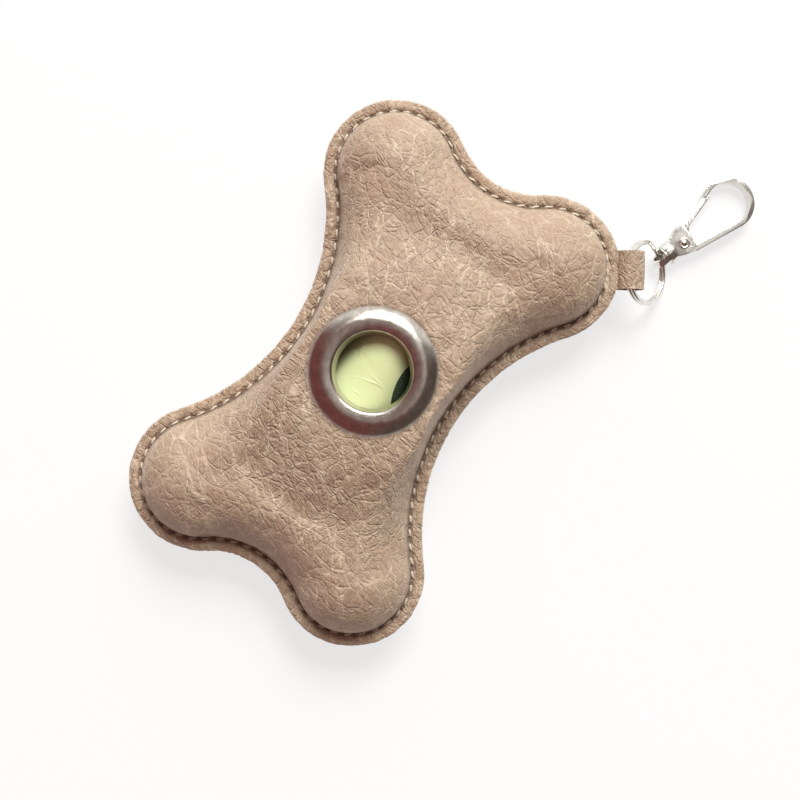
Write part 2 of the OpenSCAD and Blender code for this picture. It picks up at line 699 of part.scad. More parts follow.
module zip_tape(side) {
    under = [for (i = [0 : TAPE_STEPS]) tape_row(tape_x(i), side, leather + TAPE_GAP, -tape_t)];
    upper = [for (i = [0 : TAPE_STEPS]) tape_row(tape_x(i), side, leather + TAPE_GAP + tape_t, 0)];
    sections = [for (i = [0 : TAPE_STEPS])
        concat(under[i], [for (j = [3 : -1 : 0]) upper[i][j]])];
    polyhedron(
        points = [for (s = sections) for (p = s) p],
        faces = concat(
            [[for (j = [0 : 7]) side > 0 ? j : 7 - j]],
            [[for (j = [0 : 7]) TAPE_STEPS * 8 + (side > 0 ? 7 - j : j)]],
            [for (r = [0 : TAPE_STEPS - 1], j = [0 : 7])
                let (a = r * 8 + j, b = r * 8 + (j + 1) % 8, c = b + 8, d = a + 8)
                for (f = side > 0 ? [[a, d, b], [b, d, c]] : [[a, b, d], [b, c, d]]) f]),
        convexity = 4);
}

module zip_tape_left() { centred() color("tan") zip_tape(1); }
module zip_tape_right() { centred() color("tan") zip_tape(-1); }

// One row of teeth: each tooth has a wide foot on the tape and a waisted head
TOOTH_SIDE = [[0.8, 2.2], [0.8, 1.05], [0.4, 0.8], [0.52, -0.2], [0.3, -0.7]];
module tooth() {
    linear_extrude(tooth_h, center = true)
        polygon(concat(TOOTH_SIDE,
            [for (i = [len(TOOTH_SIDE) - 1 : -1 : 0]) [-TOOTH_SIDE[i].x, TOOTH_SIDE[i].y]]));
}
row_end = zip_reach - 3;
tooth_count = floor(2 * row_end / tooth_pitch);
module tooth_row(side, shift) {
    centred() color("peru") for (i = [0 : tooth_count - 1])
        translate([(i + shift) * tooth_pitch - row_end, 0, teeth_z]) scale([1, side, 1]) tooth();
}
module zip_teeth_left() { tooth_row(1, 0); }
module zip_teeth_right() { tooth_row(-1, 0.5); }

// Stops: bars clenched across both tapes at the ends of the rows
TOP_STOP_LEN = 1.6;
BOTTOM_STOP_LEN = 2.6;
module zip_stop(x, length) {
    centred() color("silver") translate([x, 0, teeth_z])
        cube([length, 2 * tape_in, tooth_h + 0.4], center = true);
}
module zip_stop_top() { zip_stop(zip_reach, TOP_STOP_LEN); }
module zip_stop_bottom() { zip_stop(0.4 - zip_reach, BOTTOM_STOP_LEN); }

// Slider: two rimmed plates that the teeth run between, a wedge at the mouth, and a bridge
SLIDER_MOUTH_R = 1.6;
SLIDER_TAIL_R = 1;
SLIDER_TAIL_HALF_W = 2.6;
SLIDER_RIM = 0.5;
WEDGE_R = 0.75;
BRIDGE_W = 1.8;
BRIDGE_LEG = 0.8;
BRIDGE_DROP = 1.6;
BRIDGE_T = 0.35;
BRIDGE_X = [-2.8, 1.6];
plate_foot = -slider_gap / 2 - slider_plate;
module slider_outline() {
    hull() for (side = [-1, 1]) {
        translate([slider_len / 2 - SLIDER_MOUTH_R, side * (slider_half_w - SLIDER_MOUTH_R)])
            circle(r = SLIDER_MOUTH_R, $fn = 32);
        translate([SLIDER_TAIL_R - slider_len / 2, side * (SLIDER_TAIL_HALF_W - SLIDER_TAIL_R)])
            circle(r = SLIDER_TAIL_R, $fn = 32);
    }
}

// The rims run along the plates' sides and leave both ends open for the teeth
module slider_rim() {
    linear_extrude(SLIDER_RIM) difference() {
        slider_outline();
        scale([1.3, 0.9]) slider_outline();
    }
}

module zip_slider() {
    centred() color("silver") translate([slider_x, 0, teeth_z]) {
        for (z = [slider_gap / 2, plate_foot])
            translate([0, 0, z]) linear_extrude(slider_plate) slider_outline();
        for (z = [slider_gap / 2 - SLIDER_RIM, -slider_gap / 2])
            translate([0, 0, z]) slider_rim();
        translate([slider_len / 2 - 1.1, 0, 0])
            cylinder(r = WEDGE_R, h = slider_gap + 0.2, center = true, $fn = 32);
        for (x = BRIDGE_X)
            translate([x, -BRIDGE_W / 2, plate_foot - BRIDGE_DROP + 0.2])
                cube([BRIDGE_LEG, BRIDGE_W, BRIDGE_DROP - 0.1]);
        translate([BRIDGE_X[0], -BRIDGE_W / 2, plate_foot - BRIDGE_DROP])
            cube([BRIDGE_X[1] - BRIDGE_X[0] + BRIDGE_LEG, BRIDGE_W, BRIDGE_T]);
    }
}

// Pull: flat tag with a round bar that sits under the slider's bridge
PULL_T = 0.8;
PULL_BAR_R = 0.45;
PULL_ARM_LEN = 4.2;
PULL_ARM_Y = 1.6;
PULL_TAG_R = 2.6;
PULL_ROOT_R = 2;
PULL_TAG_X = -16.5;
PULL_HOLE_R = 1.1;
PULL_DROP = 0.65;
pull_x = slider_x - 1.2;
pull_z = teeth_z + plate_foot - PULL_DROP;
module zip_pull() {
    centred() color("silver") translate([pull_x, 0, pull_z]) {
        rotate([90, 0, 0])
            cylinder(r = PULL_BAR_R, h = 2 * PULL_ARM_Y + 0.4, center = true, $fn = 32);
        for (side = [-1, 1])
            translate([-PULL_ARM_LEN, side * PULL_ARM_Y - PULL_T / 2, -PULL_T / 2])
                cube([PULL_ARM_LEN, PULL_T, PULL_T]);
        translate([0, 0, -PULL_T / 2]) linear_extrude(PULL_T) difference() {
            hull() {
                translate([PULL_TAG_X, 0]) circle(r = PULL_TAG_R, $fn = 48);
                translate([0.1 - PULL_ARM_LEN, 0]) circle(r = PULL_ROOT_R, $fn = 32);
            }
            translate([PULL_TAG_X, 0]) circle(r = PULL_HOLE_R, $fn = 32);
        }
    }
}

// Top stitching that holds each folded edge to its tape
ZIP_SEWN = 54;
FOLD_STITCH = 1.6;
module zip_thread(side) {
    y = zip_gap + FOLD_STITCH;
    centred() color("antiquewhite") for (x = [-ZIP_SEWN : stitch_pitch : ZIP_SEWN]) {
        z = seam_z - leather - back_height(x, y, seam_allowance) - thread_t / 2;
        translate([x, side * y, z]) cube([stitch_len, thread_t, thread_t], center = true);
    }
}
module zip_thread_left() { zip_thread(1); }
module zip_thread_right() { zip_thread(-1); }

front_panel();
back_panel_left();
back_panel_right();
seam_thread();
eyelet_front();
eyelet_back();
bag_roll();
roll_core();
tab_strap();
split_ring();
swivel_eye();
hook_body();
hook_gate();
gate_spring();
gate_rivet();
zip_tape_left();
zip_tape_right();
zip_teeth_left();
zip_teeth_right();
zip_stop_top();
zip_stop_bottom();
zip_slider();
zip_pull();
zip_thread_left();
zip_thread_right();
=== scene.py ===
"""Bone-shaped leather pouch that dispenses dog bags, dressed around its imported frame.

Each class below makes one part of the object. Sizes are in millimetres and in the frame's own
axes, and are turned into metres only where a mesh is made.
"""

import logging
import math
from dataclasses import dataclass, field
from enum import Enum
from typing import Sequence

import bpy
import numpy as np
from mathutils import Euler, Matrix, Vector
from mathutils.geometry import delaunay_2d_cdt


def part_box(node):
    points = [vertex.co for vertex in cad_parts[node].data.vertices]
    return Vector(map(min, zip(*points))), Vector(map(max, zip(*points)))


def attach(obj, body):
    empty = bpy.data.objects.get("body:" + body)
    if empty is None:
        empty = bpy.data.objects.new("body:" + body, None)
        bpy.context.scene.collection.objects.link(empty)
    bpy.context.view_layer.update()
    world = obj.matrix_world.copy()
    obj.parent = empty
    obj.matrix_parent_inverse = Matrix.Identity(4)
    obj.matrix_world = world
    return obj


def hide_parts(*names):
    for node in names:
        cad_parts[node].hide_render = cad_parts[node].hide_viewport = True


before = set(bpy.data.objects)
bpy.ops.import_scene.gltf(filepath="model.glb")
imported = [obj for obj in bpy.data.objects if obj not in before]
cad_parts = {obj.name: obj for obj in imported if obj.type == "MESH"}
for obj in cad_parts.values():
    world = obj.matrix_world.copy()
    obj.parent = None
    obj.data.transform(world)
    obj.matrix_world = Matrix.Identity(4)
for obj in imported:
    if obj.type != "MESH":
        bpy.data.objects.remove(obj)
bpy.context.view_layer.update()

LOG = logging.getLogger("pouch")
MM = 0.001
TURN = 2 * math.pi
SEED = 20261123
# Corners of a merged copy that lie closer than this are one corner, in metres
SAME_CORNER = 2e-6

Array = np.ndarray
Colour = tuple[float, float, float]
Point = tuple[float, float, float]
Face = tuple[int, ...]
Socket = bpy.types.NodeSocket
Value = Socket | float

# Shapes are worked out round the bone's own middle, which is the eyelet's axis
LOW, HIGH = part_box("eyelet_front")
MIDDLE = np.array([(LOW.x + HIGH.x) / 2, (LOW.y + HIGH.y) / 2, 0.0]) / MM


# --------------------------------------------------------------------------- small helpers


def smooth(t: Array | float) -> Array | float:
    """Soft step from 0 to 1.

    Args:
        t: Position, clamped to 0..1.

    Returns:
        The eased position.
    """
    c = np.clip(t, 0.0, 1.0)
    return c * c * (3.0 - 2.0 * c)


def hump(x: Array, middle: float, width: float) -> Array:
    """Soft hump that is 1 at its middle and fades over its width."""
    return np.exp(-(((x - middle) / width) ** 2))


def ripple(s: Array, length: float, low: int, high: int, seed: int) -> Array:
    """Uneven wave that closes on itself.

    Args:
        s: Distances along a closed line, in mm.
        length: Length of the whole line, in mm.
        low: Fewest cycles along the line.
        high: Most cycles along the line.
        seed: Seed of the random phases.

    Returns:
        Values mostly within -1..1.
    """
    rng = np.random.default_rng(SEED + seed)
    total = np.zeros_like(s, dtype=float)
    for cycles in range(low, high + 1):
        # Both draws are made in this order, so that every run gives the same wave
        total += rng.normal() * np.cos(TURN * cycles * s / length + rng.uniform(0, 6.283))
    return total / (1.6 * math.sqrt(high - low + 1))


def deselect() -> None:
    """Leaves object mode with nothing selected."""
    if bpy.context.object is not None and bpy.context.object.mode != "OBJECT":
        bpy.ops.object.mode_set(mode="OBJECT")
    bpy.ops.object.select_all(action="DESELECT")


def activate(obj: bpy.types.Object) -> None:
    """Makes one object the only selected and the active one.

    Args:
        obj: The object.
    """
    deselect()
    obj.select_set(True)
    bpy.context.view_layer.objects.active = obj


def apply_modifiers(obj: bpy.types.Object) -> None:
    """Applies every modifier of an object, first to last.

    Args:
        obj: The object.
    """
    activate(obj)
    for name in [m.name for m in obj.modifiers]:
        bpy.ops.object.modifier_apply(modifier=name)


def settle(obj: bpy.types.Object) -> None:
    """Moves an object's place, turn and size into its mesh."""
    activate(obj)
    bpy.ops.object.transform_apply(location=True, rotation=True, scale=True)


def from_arrays(name: str, points: Array, faces: Sequence[Sequence[int]]) -> bpy.types.Object:
    """Makes a mesh object.

    Args:
        name: Name of the piece.
        points: Corners in mm from the bone's middle, one row each.
        faces: Corner numbers of each face.

    Returns:
        The new object, linked to the scene.
    """
    mesh = bpy.data.meshes.new(name)
    placed = (np.asarray(points, float) + MIDDLE) * MM
    mesh.from_pydata(placed.tolist(), [], [tuple(int(i) for i in f) for f in faces])
    mesh.update()
    obj = bpy.data.objects.new(name, mesh)
    bpy.context.scene.collection.objects.link(obj)
    return obj


def corners(obj: bpy.types.Object) -> Array:
    """Reads the corners of a mesh.

    Args:
        obj: The mesh object.

    Returns:
        The corners in mm from the bone's middle, one row each.
    """
    co = np.empty(len(obj.data.vertices) * 3, np.float32)
    obj.data.vertices.foreach_get("co", co)
    return co.reshape(-1, 3).astype(float) / MM - MIDDLE


def set_corners(obj: bpy.types.Object, points: Array) -> None:
    """Moves the corners of a mesh to points given in mm from the bone's middle."""
    obj.data.vertices.foreach_set("co", ((points + MIDDLE) * MM).astype(np.float32).ravel())
    obj.data.update()


def corner_normals(obj: bpy.types.Object) -> Array:
    """Reads the directions in which the corners of a mesh face.

    Args:
        obj: The mesh object.

    Returns:
        Unit normals, one row each.
    """
    out = np.empty(len(obj.data.vertices) * 3, np.float32)
    obj.data.vertex_normals.foreach_get("vector", out)
    return out.reshape(-1, 3).astype(float)


def put_attribute(obj: bpy.types.Object, name: str, values: Array) -> None:
    """Stores one number per corner under a name that materials can read."""
    layer = obj.data.attributes.get(name) or obj.data.attributes.new(name, "FLOAT", "POINT")
    layer.data.foreach_set("value", np.asarray(values, np.float32))


def shade_smooth(obj: bpy.types.Object, degrees: float | None = None) -> None:
    """Shades a mesh smooth.

    Args:
        obj: The mesh object.
        degrees: Angle over which an edge stays sharp, or None to smooth all.
    """
    activate(obj)
    if degrees is None:
        bpy.ops.object.shade_smooth()
    else:
        bpy.ops.object.shade_smooth_by_angle(angle=math.radians(degrees))


def face_outwards(obj: bpy.types.Object) -> None:
    """Turns every face of a closed mesh outwards.

    Args:
        obj: The mesh object.
    """
    activate(obj)
    bpy.ops.object.mode_set(mode="EDIT")
    bpy.ops.mesh.select_all(action="SELECT")
    bpy.ops.mesh.normals_make_consistent(inside=False)
    bpy.ops.object.mode_set(mode="OBJECT")


def carry_over(node: str, name: str) -> bpy.types.Object:
    """Copies a frame node as a clean mesh that can be bevelled.

    Args:
        node: Name of the frame node.
        name: Name of the new piece.

    Returns:
        The copy, with its doubles merged and its flat faces joined.
    """
    mesh = bpy.data.objects[node].data.copy()
    mesh.name = name
    mesh.materials.clear()
    obj = bpy.data.objects.new(name, mesh)
    bpy.context.scene.collection.objects.link(obj)
    activate(obj)
    bpy.ops.object.mode_set(mode="EDIT")
    bpy.ops.mesh.select_all(action="SELECT")
    bpy.ops.mesh.remove_doubles(threshold=SAME_CORNER)
    bpy.ops.mesh.customdata_custom_splitnormals_clear()
    bpy.ops.mesh.dissolve_limited(angle_limit=math.radians(0.6))
    bpy.ops.object.mode_set(mode="OBJECT")
    return obj


# --------------------------------------------------------------------------- node trees


class Tree:
    """A node tree, for a material or for a mesh, with short ways to fill it."""

    def __init__(self, tree: bpy.types.NodeTree) -> None:
        """Starts on an empty tree.

        Args:
            tree: The tree to fill.
        """
        self.tree = tree
        tree.nodes.clear()

    def add(self, kind: str, inputs: dict | None = None, **settings: object) -> bpy.types.Node:
        """Adds a node.

        Args:
            kind: The node's type name.
            inputs: Values or sockets for its inputs, by name or number.
            **settings: Values of the node's own settings.

        Returns:
            The node.
        """
        node = self.tree.nodes.new(kind)
        for key, value in settings.items():
            setattr(node, key, value)
        for key, value in (inputs or {}).items():
            if isinstance(value, Socket):
                self.tree.links.new(value, node.inputs[key])
            else:
                node.inputs[key].default_value = value
        return node

    def math(self, operation: str, a: Value, b: Value = 0.0, c: Value = 0.0) -> Socket:
        """One sum on numbers or sockets; returns its result."""
        return self.add("ShaderNodeMath", {0: a, 1: b, 2: c}, operation=operation).outputs[0]

    def step(self, value: Value, start: float, end: float, to_start: float = 0.0,
             to_end: float = 1.0) -> Socket:
        """Soft step of a value between two marks.

        Args:
            value: The value.
            start: Mark where the step starts.
            end: Mark where it ends.
            to_start: Result up to the first mark.
            to_end: Result from the second mark on.

        Returns:
            The result.
        """
        return self.add(
            "ShaderNodeMapRange",
            {"Value": value, "From Min": start, "From Max": end, "To Min": to_start, "To Max": to_end},
            interpolation_type="SMOOTHSTEP",
        ).outputs["Result"]

    def noise(self, place: Socket, scale: float, detail: float = 2.0, rough: float = 0.5) -> Socket:
        """Cloudy noise at a place.

        Args:
            place: The point, in mm.
            scale: Clouds to the mm.
            detail: Layers of finer clouds.
            rough: Strength of each finer layer.

        Returns:
            The noise, from 0 to 1.
        """
        return self.add(
            "ShaderNodeTexNoise",
            {"Vector": place, "Scale": scale, "Detail": detail, "Roughness": rough},
        ).outputs[0]

    def cracks(self, place: Socket, scale: float) -> Socket:
        """Distance to the border of a net of cells; returns its value."""
        node = self.add("ShaderNodeTexVoronoi", {"Vector": place, "Scale": scale}, feature="DISTANCE_TO_EDGE")
        return node.outputs["Distance"]

    def shift(self, place: Socket, scale: float, amount: float) -> Socket:
        """Moves a place about by noise, so that straight patterns wander.

        Args:
            place: The point, in mm.
            scale: Clouds of the noise to the mm.
            amount: Largest movement, in mm.

        Returns:
            The moved point.
        """
        node = self.add("ShaderNodeTexNoise", {"Vector": place, "Scale": scale, "Detail": 2.0})
        middle = self.add(
            "ShaderNodeVectorMath", {0: node.outputs["Color"], 1: (0.5, 0.5, 0.5)}, operation="SUBTRACT"
        ).outputs[0]
        part = self.add("ShaderNodeVectorMath", {0: middle, "Scale": amount}, operation="SCALE").outputs[0]
        return self.add("ShaderNodeVectorMath", {0: place, 1: part}, operation="ADD").outputs[0]

    def along(self, place: Socket, way: Point) -> Socket:
        """How far a point lies along a direction."""
        return self.add("ShaderNodeVectorMath", {0: place, 1: way}, operation="DOT_PRODUCT").outputs["Value"]

    def mix(self, share: Value, a: Socket | Colour, b: Socket | Colour) -> Socket:
        """Mixes two colours.

        Args:
            share: Share of the second one.
            a: The first colour.
            b: The second colour.

        Returns:
            The mixed colour.
        """
        node = self.add("ShaderNodeMix", data_type="RGBA")
        for socket, value in ((node.inputs[0], share), (node.inputs[6], a), (node.inputs[7], b)):
            if isinstance(value, Socket):
                self.tree.links.new(value, socket)
            elif isinstance(value, tuple):
                socket.default_value = (*value, 1.0)
            else:
                socket.default_value = value
        return node.outputs[2]

    def attribute(self, name: str) -> Socket:
        """Reads a number that is stored on the mesh.

        Args:
            name: The name that it is stored under.

        Returns:
            The number.
        """
        if self.tree.bl_idname == "GeometryNodeTree":
            return self.add("GeometryNodeInputNamedAttribute", {"Name": name}, data_type="FLOAT").outputs[0]
        return self.add("ShaderNodeAttribute", attribute_name=name).outputs["Fac"]

    def place(self) -> Socket:
        """Finds the point of the piece that is being worked on.

        Returns:
            The point, in mm from the bone's middle.
        """
        if self.tree.bl_idname == "GeometryNodeTree":
            start = self.add("GeometryNodeInputPosition").outputs[0]
        else:
            start = self.add("ShaderNodeTexCoord").outputs["Object"]
        large = self.add("ShaderNodeVectorMath", {0: start, "Scale": 1 / MM}, operation="SCALE").outputs[0]
        return self.add("ShaderNodeVectorMath", {0: large, 1: tuple(MIDDLE)}, operation="SUBTRACT").outputs[0]


def surface(name: str, **values: float) -> tuple[bpy.types.Material, Tree, bpy.types.Node]:
    """Starts a material.

    Args:
        name: Name of the material.
        **values: Values set on the shader's own sockets, with _ for a space.

    Returns:
        The material, its tree and its shader node.
    """
    material = bpy.data.materials.new(name)
    material.use_nodes = True
    tree = Tree(material.node_tree)
    shader = tree.add("ShaderNodeBsdfPrincipled")
    for key, value in values.items():
        shader.inputs[key.replace("_", " ")].default_value = value
    tree.add("ShaderNodeOutputMaterial", {"Surface": shader.outputs[0]})
    return material, tree, shader


def finish_with(tree: Tree, shader: bpy.types.Node, colour: Socket | None = None, rough: Socket | None = None,
                height: Socket | None = None, depth: float = 0.1) -> None:
    """Joins a material's results to its shader.

    Args:
        tree: The material's tree.
        shader: Its shader.
        colour: Socket of the colour.
        rough: Socket of the roughness.
        height: Socket of the relief, 0 to 1.
        depth: Depth of the relief, in mm.
    """
    if colour is not None:
        tree.tree.links.new(colour, shader.inputs["Base Color"])
    if rough is not None:
        tree.tree.links.new(rough, shader.inputs["Roughness"])
    if height is not None:
        bump = tree.add("ShaderNodeBump", {"Height": height, "Distance": depth * MM, "Strength": 1.0})
        tree.tree.links.new(bump.outputs[0], shader.inputs["Normal"])


# --------------------------------------------------------------------------- finishes


class Grain:
    """Relief of pebbled leather, the same in a material and in a mesh."""

    # Direction in which the hide runs, in the bone's x and y
    run: tuple[float, float] = (0.8434, 0.5373)

    @classmethod
    def drawn_out(cls, tree: Tree, place: Socket, along: float, turn: float) -> Socket:
        """Draws a place out along the hide, so that patterns on it become long.

        Args:
            tree: The tree to add to.
            place: The point, in mm.
            along: How much of the length along the hide is kept.
            turn: Turn away from the hide's own run, in radians.

        Returns:
            The drawn out point.
        """
        c, s = math.cos(turn), math.sin(turn)
        u = (cls.run[0] * c - cls.run[1] * s, cls.run[0] * s + cls.run[1] * c, 0.0)
        lengthways, across = tree.along(place, u), tree.along(place, (-u[1], u[0], 0.0))
        z = tree.add("ShaderNodeSeparateXYZ", {0: place}).outputs[2]
        return tree.add(
            "ShaderNodeCombineXYZ", {0: tree.math("MULTIPLY", lengthways, along), 1: across, 2: z}
        ).outputs[0]

    @classmethod
    def folds(cls, tree: Tree, place: Socket) -> dict[str, Socket]:
        """The broad folds, which are wide enough for a mesh.

        Args:
            tree: The tree to add to.
            place: The point, in mm.

        Returns:
            Sockets from 0 to 1: long folds and clouds.
        """
        hide = cls.drawn_out(tree, tree.shift(place, 0.035, 15.0), 0.2, 0.0)
        return {
            "long": tree.step(tree.cracks(hide, 0.17), 0.0, 0.16, 1.0, 0.0),
            "clouds": tree.noise(place, 0.07, 3.0, 0.55),
        }

    @classmethod
    def creases(cls, tree: Tree, place: Socket) -> dict[str, Socket]:
        """The fine creases, which only a material is fine enough for.

        Args:
            tree: The tree to add to.
            place: The point, in mm.

        Returns:
            Sockets that are 1 in a crease and 0 beside it: lines, cells, pebbles, cuts and wrinkles.
        """
        loose = tree.shift(tree.shift(place, 0.05, 9.0), 0.28, 1.15)
        hide = cls.drawn_out(tree, loose, 0.14, 0.1)
        close = tree.shift(loose, 0.9, 0.55)
        bends = [tree.cracks(cls.drawn_out(tree, loose, 0.42, turn), 0.24) for turn in (0.75, -0.6)]
        crossed = tree.math("MINIMUM", *bends)
        fine = [tree.cracks(cls.drawn_out(tree, close, 0.4, turn), 0.72) for turn in (0.95, -0.35)]
        pebbled = tree.math("MINIMUM", *fine)
        return {
            "lines": tree.step(tree.cracks(hide, 0.21), 0.0, 0.045, 1.0, 0.0),
            "cells": tree.step(crossed, 0.0, 0.09, 1.0, 0.0),
            "pebbles": tree.step(pebbled, 0.0, 0.26, 1.0, 0.0),
            "cuts": tree.step(pebbled, 0.01, 0.10, 1.0, 0.0),
            "wrinkles": tree.step(fine[0], 0.0, 0.2, 1.0, 0.0),
        }


@dataclass(frozen=True)
class LeatherFinish:
    """Pebbled taupe leather."""

    name: str = "taupe_leather"
    body: Colour = (0.465, 0.352, 0.247)
    warm: Colour = (0.440, 0.308, 0.213)
    # Colour of the painted shade in the grain's fine cuts
    crease: Colour = (0.245, 0.165, 0.112)
    # Pale of worn leather, also used as a painted highlight on the grain's creases
    rubbed_and_highlight: Colour = (0.72, 0.59, 0.44)
    # Colour of the painted shade in the seam's groove and holes, the fold and round the eyelet's rim
    painted_shade: Colour = (0.065, 0.030, 0.022)

    def build(self) -> bpy.types.Material:
        """Makes the material.

        Returns:
            The material, ready for a piece.
        """
        material, tree, shader = surface(
            self.name, Roughness=0.5, Specular_IOR_Level=0.42, Sheen_Weight=0.12, Sheen_Roughness=0.4,
            Coat_Weight=0.06, Coat_Roughness=0.38,
        )
        place = tree.place()
        nets = Grain.creases(tree, place)
        crush = tree.attribute("crush")
        mottle = tree.step(tree.noise(place, 0.07, 3.0, 0.55), 0.35, 0.68)
        colour = tree.mix(mottle, self.body, self.warm)
        deep = tree.step(tree.noise(place, 0.45, 2.0, 0.6), 0.36, 0.62, 0.35, 1.0)
        # Painted shade in the grain's fine cuts, deeper where the grain is squeezed
        dark = tree.math("MULTIPLY", tree.math("MULTIPLY", nets["cuts"], deep), tree.math(
            "MULTIPLY_ADD", crush, 0.16, 0.16))
        colour = tree.mix(dark, colour, self.crease)
        # Pale on the long lines: the hide's paler creases and partly a painted highlight; pale on the cell
        # borders: a painted highlight
        faint = tree.step(tree.noise(place, 0.09, 2.0), 0.34, 0.56)
        pale = tree.math("MULTIPLY", tree.math("MULTIPLY", nets["lines"], faint), 0.6)
        pale = tree.math("MULTIPLY_ADD", nets["cells"], 0.20, pale)
        colour = tree.mix(pale, colour, self.rubbed_and_highlight)
        colour = tree.mix(tree.attribute("rub"), colour, self.rubbed_and_highlight)
        # Painted shade in the seam's groove and holes, in the fold and round the eyelet's rim
        colour = tree.mix(tree.attribute("painted_shade"), colour, self.painted_shade)
        micro = tree.noise(place, 3.6, 3.0, 0.7)
        height = tree.math("MULTIPLY", nets["cells"], tree.math("MULTIPLY_ADD", crush, -0.06, -0.17))
        pebbled = tree.math("MULTIPLY", nets["pebbles"], deep)
        height = tree.math("MULTIPLY_ADD", pebbled, tree.math("MULTIPLY_ADD", crush, -0.08, -0.11), height)
        height = tree.math("MULTIPLY_ADD", nets["wrinkles"], -0.04, height)
        height = tree.math("MULTIPLY_ADD", nets["lines"], -0.06, height)
        height = tree.math("MULTIPLY_ADD", micro, 0.07, height)
        rough = tree.step(micro, 0.2, 0.8, 0.42, 0.62)
        finish_with(tree, shader, colour, rough, height, 1.0)
        return material


@dataclass(frozen=True)
class EdgeFinish:
    """Raw cut edge of the leather: paler, fibrous and matt."""

    name: str = "raw_leather_edge"
    pale: Colour = (0.63, 0.47, 0.34)
    dark: Colour = (0.38, 0.26, 0.18)

    def build(self) -> bpy.types.Material:
        """Makes the material.

        Returns:
            The material, ready for a piece.
        """
        material, tree, shader = surface(self.name, Roughness=0.85, Specular_IOR_Level=0.25)
        fibres = tree.noise(tree.place(), 3.0, 4.0, 0.7)
        colour = tree.mix(tree.step(fibres, 0.35, 0.65), self.dark, self.pale)
        finish_with(tree, shader, colour, height=fibres, depth=0.12)
        return material


class Gloss(Enum):
    """How bright a metal piece is polished."""

    SATIN = 0.16
    BRIGHT = 0.14
    WORN = 0.34


@dataclass(frozen=True)
class MetalFinish:
    """Plated metal with fine handling marks."""

    name: str
    gloss: Gloss
    body: Colour = (0.74, 0.72, 0.69)
    tint: Colour = (0.60, 0.55, 0.50)
    marks: float = 0.010
    drawn: Point = (1.0, 9.0, 3.0)

    def build(self) -> bpy.types.Material:
        """Makes the material.

        Returns:
            The material, ready for a piece.
        """
        material, tree, shader = surface(self.name, Metallic=1.0, Roughness=self.gloss.value)
        place = tree.place()
        clouds = tree.noise(place, 0.35, 3.0, 0.6)
        colour = tree.mix(tree.step(clouds, 0.3, 0.7), self.body, self.tint)
        drawn = tree.add("ShaderNodeMapping", {"Vector": place, "Scale": self.drawn}).outputs[0]
        lines = tree.noise(drawn, 1.6, 4.0, 0.75)
        level = self.gloss.value
        rough = tree.step(lines, 0.25, 0.75, level * 0.75, level * 1.45)
        finish_with(tree, shader, colour, rough, lines, self.marks)
        return material


@dataclass(frozen=True)
class ThreadFinish:
    """Waxed sewing thread."""

    name: str = "cream_thread"
    pale: Colour = (0.80, 0.73, 0.60)
    dark: Colour = (0.46, 0.37, 0.26)

    def build(self) -> bpy.types.Material:
        """Makes the material.

        Returns:
            The material, ready for a piece.
        """
        material, tree, shader = surface(self.name, Roughness=0.6, Sheen_Weight=0.25)
        place = tree.place()
        strands = tree.noise(place, 4.5, 3.0, 0.7)
        colour = tree.mix(tree.step(strands, 0.32, 0.6), self.dark, self.pale)
        finish_with(tree, shader, colour, height=strands, depth=0.12)
        return material


@dataclass(frozen=True)
class FilmFinish:
    """Thin matt bag film, wound on a roll, with a plain printed dot."""

    name: str = "bag_film"
    body: Colour = (0.72, 0.82, 0.42)
    warm: Colour = (0.75, 0.82, 0.45)
    ink: Colour = (0.016, 0.035, 0.026)
    dot: tuple[float, float] = (3.0, -22.0)
    dot_r: float = 13.7

    def build(self) -> bpy.types.Material:
        """Makes the material.

        Returns:
            The material, ready for a piece.
        """
        material, tree, shader = surface(
            self.name, Roughness=0.36, Specular_IOR_Level=0.45, Subsurface_Weight=0.12, Subsurface_Scale=0.002
        )
        place = tree.place()
        clouds = tree.noise(place, 0.16, 3.0, 0.55)
        colour = tree.mix(tree.step(clouds, 0.3, 0.7), self.body, self.warm)
        wound = tree.add("ShaderNodeUVMap", uv_map="wound").outputs[0]
        away = tree.add(
            "ShaderNodeVectorMath", {0: wound, 1: (*self.dot, 0.0)}, operation="DISTANCE"
        ).outputs["Value"]
        inked = tree.step(away, self.dot_r - 0.12, self.dot_r + 0.12, 1.0, 0.0)
        grit = tree.step(tree.noise(place, 2.6, 3.0, 0.7), 0.35, 0.75, 1.0, 0.82)
        colour = tree.mix(tree.math("MULTIPLY", inked, grit), colour, self.ink)
        drawn = tree.add("ShaderNodeMapping", {"Vector": place, "Scale": (1.0, 0.35, 1.0)}).outputs[0]
        creases = tree.step(tree.cracks(tree.shift(drawn, 0.1, 5.0), 0.13), 0.0, 0.045, 1.0, 0.0)
        creases = tree.math("MULTIPLY", creases, tree.step(tree.noise(place, 0.14), 0.45, 0.65))
        height = tree.math("MULTIPLY_ADD", clouds, 0.7, creases)
        finish_with(tree, shader, colour, height=height, depth=0.12)
        return material


@dataclass(frozen=True)
class CardFinish:
    """Grey-brown cardboard of the roll's core."""

    name: str = "core_card"
    pale: Colour = (0.52, 0.40, 0.27)
    dark: Colour = (0.36, 0.26, 0.17)

    def build(self) -> bpy.types.Material:
        """Makes the material.

        Returns:
            The material, ready for a piece.
        """
        material, tree, shader = surface(self.name, Roughness=0.9, Specular_IOR_Level=0.2)
        place = tree.place()
        drawn = tree.add("ShaderNodeMapping", {"Vector": place, "Scale": (0.4, 3.0, 3.0)}).outputs[0]
        fibres = tree.noise(drawn, 1.2, 4.0, 0.7)
        colour = tree.mix(tree.step(fibres, 0.35, 0.65), self.dark, self.pale)
        finish_with(tree, shader, colour, height=fibres, depth=0.08)
        return material


